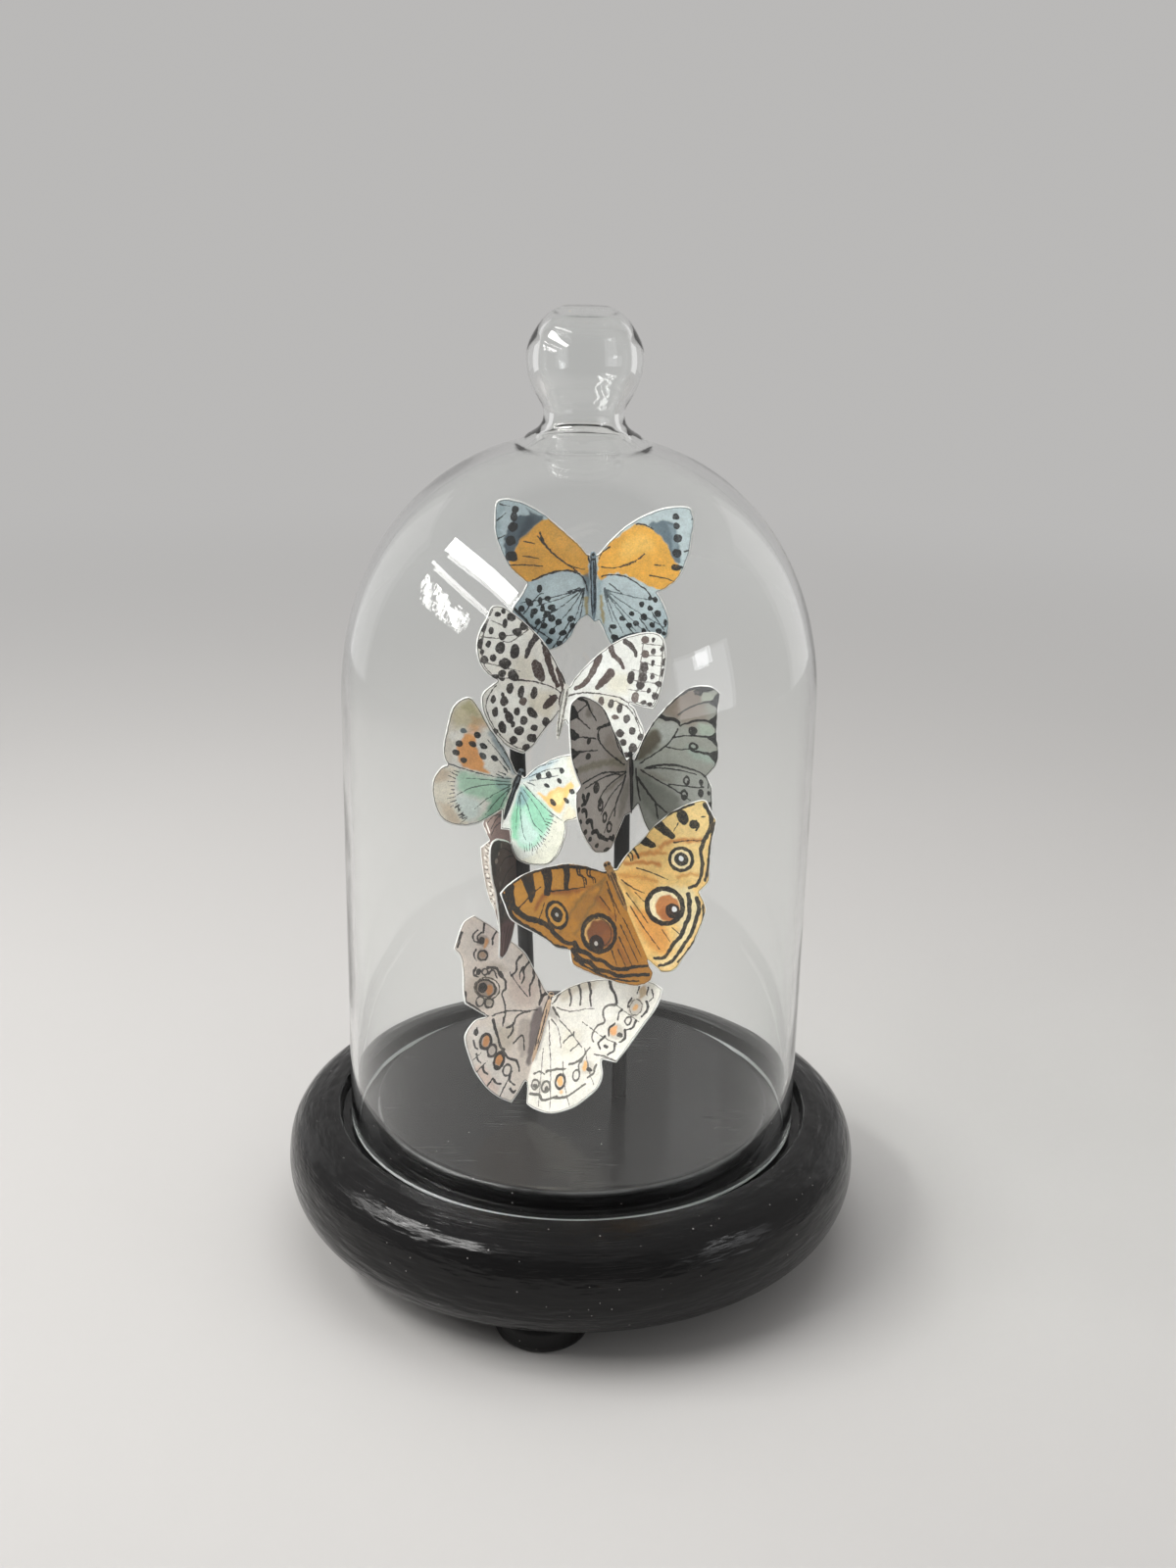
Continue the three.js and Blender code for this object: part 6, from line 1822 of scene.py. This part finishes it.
                (0.3, [[3, -1.6], [2.2, 0.6], [1.4, 2]]), (0.3, [[2, 3], [3.4, 4.2], [5, 5.4]]),
            )
            + strokes(
                "393331", (0.5, [[18.4, -8], [19.3, -6.2], [21.2, -4.6], [22.5, -2.4]]),
                (0.4, [[32, -4.6], [32.8, -2.6], [31.5, -0.4]]),
                (0.28, [[26.8, -4.6], [26.2, -3.2], [26.4, -2]]),
                (0.2, [[32.4, -8.2], [33.5, -6.6], [32.7, -4.8]]), (0.24, [[31.2, -8.6], [31.4, -6.4]]),
                (0.32, [[30, 1], [29.6, 3.1], [28, 4]]), (0.26, [[24.7, -1], [24, 0.5], [24.3, 2]]),
                (0.4, [[27.4, 4.4], [28, 6.5], [26.6, 8]]), (0.3, [[23.6, 3.4], [22.3, 5], [22.8, 7]]),
                (0.3, [[21.6, 7.5], [20, 9.4], [21, 11.2]]),
                (0.34, [[25.3, 8.6], [25.5, 10.5], [24, 12.1]]), (0.2, [[28.3, -8.4], [28.2, -6.2]]),
            )
            + dots("4a4440", [[26.2, 6, 0.9, 0.6], [22.7, 10, 0.8, 0.45], [19.3, 17.4, 0.95, 0.5]])
            + [
                ("ring", "5d5753", [27.6, 1.6, 1, 1.1, 0.18]),
                ("ring", "6b655f", [28.9, -2.5, 2, 2.2, 0.08]),
            ]
            + strokes(
                "767069",
                (0.32, [
                    [22.2, -2], [19.2, -0.7], [19, 1.5], [20.2, 3.4], [17.9, 5.5], [17.4, 8.5], [18.4, 9.6],
                ]),
                (0.16, [[19.7, 13], [22.7, 12.7], [27, 13.2]]),
                (0.11, [[3.2, 2.8], [7.7, 3], [12.7, 1.3], [15.8, 0.6]]),
                (0.1, [[22, -2], [26, -0.6], [31, 1.2]]), (0.1, [[13, 5], [20, 7.4], [26, 8.6]]),
            )
            + strokes(
                "6a6560", (0.14, [[2.4, 6.4], [5.6, 8.6], [8.2, 13.6]]),
                (0.13, [[1.8, 7], [4, 13], [6, 18]]), (0.12, [[5, 6], [10, 8.6], [15, 12]]),
                (0.22, [[8.6, 12], [9.6, 10.2], [11.2, 9]]), (0.2, [[11.6, 13.6], [13.8, 11]]),
                (0.18, [[11, 8.4], [11.4, 9.6]]),
            )
            + strokes(
                "77726b", (0.32, [[5.6, 21], [9.2, 19.5], [11.6, 19]]),
                (0.3, [[12.4, 17.4], [15.4, 15.6], [17.6, 11.4]]),
                (0.36, [[2.2, 28.3], [5.2, 27.9], [6.8, 29], [9.2, 28.1], [11, 26.8]]),
                (0.34, [[10.4, 27.4], [13.7, 26.6], [16.7, 24], [19.2, 21.4]]),
                (0.34, [[21, 15.6], [20.9, 18], [19.4, 19.6]]),
                (0.28, [[16.4, 14.6], [15.6, 16.8], [16.4, 18.8]]),
                (0.24, [[1.6, 22.6], [3.2, 21.6], [5.2, 21.8]]),
            )
            + [
                ("ring", "6b6661", [15.6, 19.8, 1.1, 1.5, 0.22]),
                ("ring", "3f3a37", [10.9, 22.7, 1.5, 2, 0.3]),
                ("ring", "7a756f", [6.7, 25.2, 1.3, 1.5, 0.26]), ("dot", "6b6661", [7, 25.6, 0.5, 0.6]),
                ("ring", "807b74", [3, 25.4, 1.2, 1.4, 0.2]), ("dot", "7a756f", [3.1, 25.8, 0.75, 0.55]),
            ]
            + strokes(
                "8d8880", (0.09, [[2.4, 15], [4, 22], [6, 31]]), (0.09, [[5.4, 16], [8, 24], [10, 31]]),
                (0.09, [[10, 17], [13, 24], [17, 30]]), (0.08, [[16, 12], [19.6, 18], [22, 21]]),
            ),
        ),
    ],
    body=(
        1.3, -1.2, 19.6, "c3a78c",
        strokes(
            "4f4644", (0.2, [[-0.8, 1.6], [-0.9, 8], [-0.4, 16]]), (0.18, [[0.8, 2], [0.85, 8], [0.4, 16]]),
            (0.12, [[-0.1, 4], [0.1, 9], [0, 14]]),
        )
        + dots("4a4240", [[-0.5, 0.6, 0.35, 0.5], [0.5, 0.6, 0.35, 0.5], [0, -0.6, 0.5, 0.25]]),
    ),
    bow=(0.5, 0.6), seed=71,
)

# The room
# A plain pale table that fades into the pale room far off, and soft light: at the left a wide window of
# three panes, one above the other, at the right two smaller ones, behind two pale boards, and a wide soft
# light overhead. The room is dimmer on the viewer's side, which keeps the glass clear.
ROOM = (0.49, 0.483, 0.476, 1)
DIM = 0.42  # share of the room's light on the viewer's side
SIDE_FROM, SIDE_TO = -0.9, -0.35  # a direction's y where it is dimmest, and where it is full
HAZE_FROM, HAZE_TO = 0.25, 1.3  # metres from the middle between which the table fades
TABLE, CELLS = 6000, 40  # its half width in mm, and its squares along a side
room, tree, shader = material("pale_table", Roughness=0.8, Specular_IOR_Level=0.2)
where = add_node(tree, "ShaderNodeTexCoord").outputs["Object"]
cloud = noise(tree, where, 3.0, 2.0, 0.5)
tree.links.new(mixed(tree, cloud, (0.52, 0.51, 0.5, 1), (0.56, 0.55, 0.54, 1)), shader.inputs["Base Color"])
away = add_node(tree, "ShaderNodeVectorMath", {0: where}, operation="LENGTH").outputs["Value"]
toward = add_node(tree, "ShaderNodeVectorMath", {0: where}, operation="NORMALIZE").outputs[0]
ahead = split_xyz(tree, toward)[1]
strength = ranged(tree, ahead, SIDE_FROM, SIDE_TO, DIM, 1.0)
haze = add_node(tree, "ShaderNodeEmission", {"Color": ROOM, "Strength": strength})
sooner = times(tree, away, ranged(tree, ahead, SIDE_FROM, SIDE_TO, 2.0, 1.0))
faded = ranged(tree, sooner, HAZE_FROM, HAZE_TO)
fade = add_node(tree, "ShaderNodeMixShader", {0: faded, 1: shader.outputs[0], 2: haze.outputs[0]})
tree.links.new(fade.outputs[0], tree.nodes["Material Output"].inputs["Surface"])
x, y = np.meshgrid(*[np.linspace(-TABLE, TABLE, CELLS + 1)] * 2)
points = np.stack([x.ravel(), y.ravel(), 0 * x.ravel()], -1)
first = np.arange(CELLS)[:, None] * (CELLS + 1) + np.arange(CELLS)
squares = np.stack([first, first + 1, first + CELLS + 2, first + CELLS + 1], -1).reshape(-1, 4)
table = built("table", points, squares)
table.data.materials.append(room)


MIDDLE = (0, 0, 0.19)  # of the dome, in metres
DAYLIGHT, SHADED = (1, 0.99, 0.97), (0.97, 0.98, 1)


def softbox(name, at, aim, width, height, power, color=(1, 1, 1), mirrored=True, leaves=0.0):
    """A lamp of width by height metres at a place, aimed at another. With leaves it has foliage outside:
    the pane's light is broken up by noise of that scale.
    """
    lamp = bpy.data.lights.new(name, "AREA")
    lamp.shape, lamp.size, lamp.size_y, lamp.energy, lamp.color = "RECTANGLE", width, height, power, color
    if leaves:
        lamp.use_nodes = True
        tree = lamp.node_tree
        across = add_node(tree, "ShaderNodeNewGeometry").outputs["Parametric"]
        stretched = add_node(
            tree, "ShaderNodeVectorMath", {0: across, 1: (width * 10, height * 10, 1)}, operation="MULTIPLY"
        ).outputs[0]
        gaps = ranged(tree, noise(tree, stretched, leaves, 4.0, 0.65), 0.47, 0.55, 0.0, 1.7)
        tree.links.new(gaps, tree.nodes["Emission"].inputs["Strength"])
    holder = bpy.data.objects.new(name, lamp)
    holder.location = at
    holder.rotation_mode = "QUATERNION"
    holder.rotation_quaternion = (Vector(aim) - Vector(at)).to_track_quat("-Z", "Y")
    holder.visible_glossy = holder.visible_transmission = mirrored
    bpy.context.scene.collection.objects.link(holder)


softbox("pane_high", (-0.585, -0.205, 0.779), MIDDLE, 0.76, 0.095, 5.3, DAYLIGHT)
softbox("pane_bar", (-0.704, -0.178, 0.663), MIDDLE, 0.7, 0.018, 0.5, DAYLIGHT)
softbox("pane_low", (-0.778, -0.153, 0.552), MIDDLE, 0.54, 0.115, 2.6, DAYLIGHT, leaves=1.2)
softbox("window_far", (0.78, -0.43, 0.4), (0, 0, 0.18), 0.14, 0.09, 0.22, SHADED)
softbox("window_right", (0.77, -0.43, 0.27), (0, 0, 0.16), 0.48, 0.33, 0.7, SHADED)
softbox("board_left", (-0.85, 0.75, 0.32), (0, 0, 0.14), 0.5, 1.0, 0.45)
softbox("board_right", (0.85, 0.75, 0.32), (0, 0, 0.14), 0.5, 1.0, 0.45)
softbox("ceiling", (0.0, 0.1, 1.3), (0, 0, 0.1), 0.9, 0.9, 5.2, mirrored=False)
world = bpy.data.worlds.new("pale_room")
world.use_nodes = True
air = world.node_tree
shine = air.nodes["Background"]
shine.inputs["Color"].default_value = ROOM
ahead = split_xyz(air, add_node(air, "ShaderNodeTexCoord").outputs["Generated"])[1]
air.links.new(ranged(air, ahead, SIDE_FROM, SIDE_TO, DIM, 1.0), shine.inputs["Strength"])
bpy.context.scene.world = world
bpy.context.scene.view_settings.view_transform = "Standard"
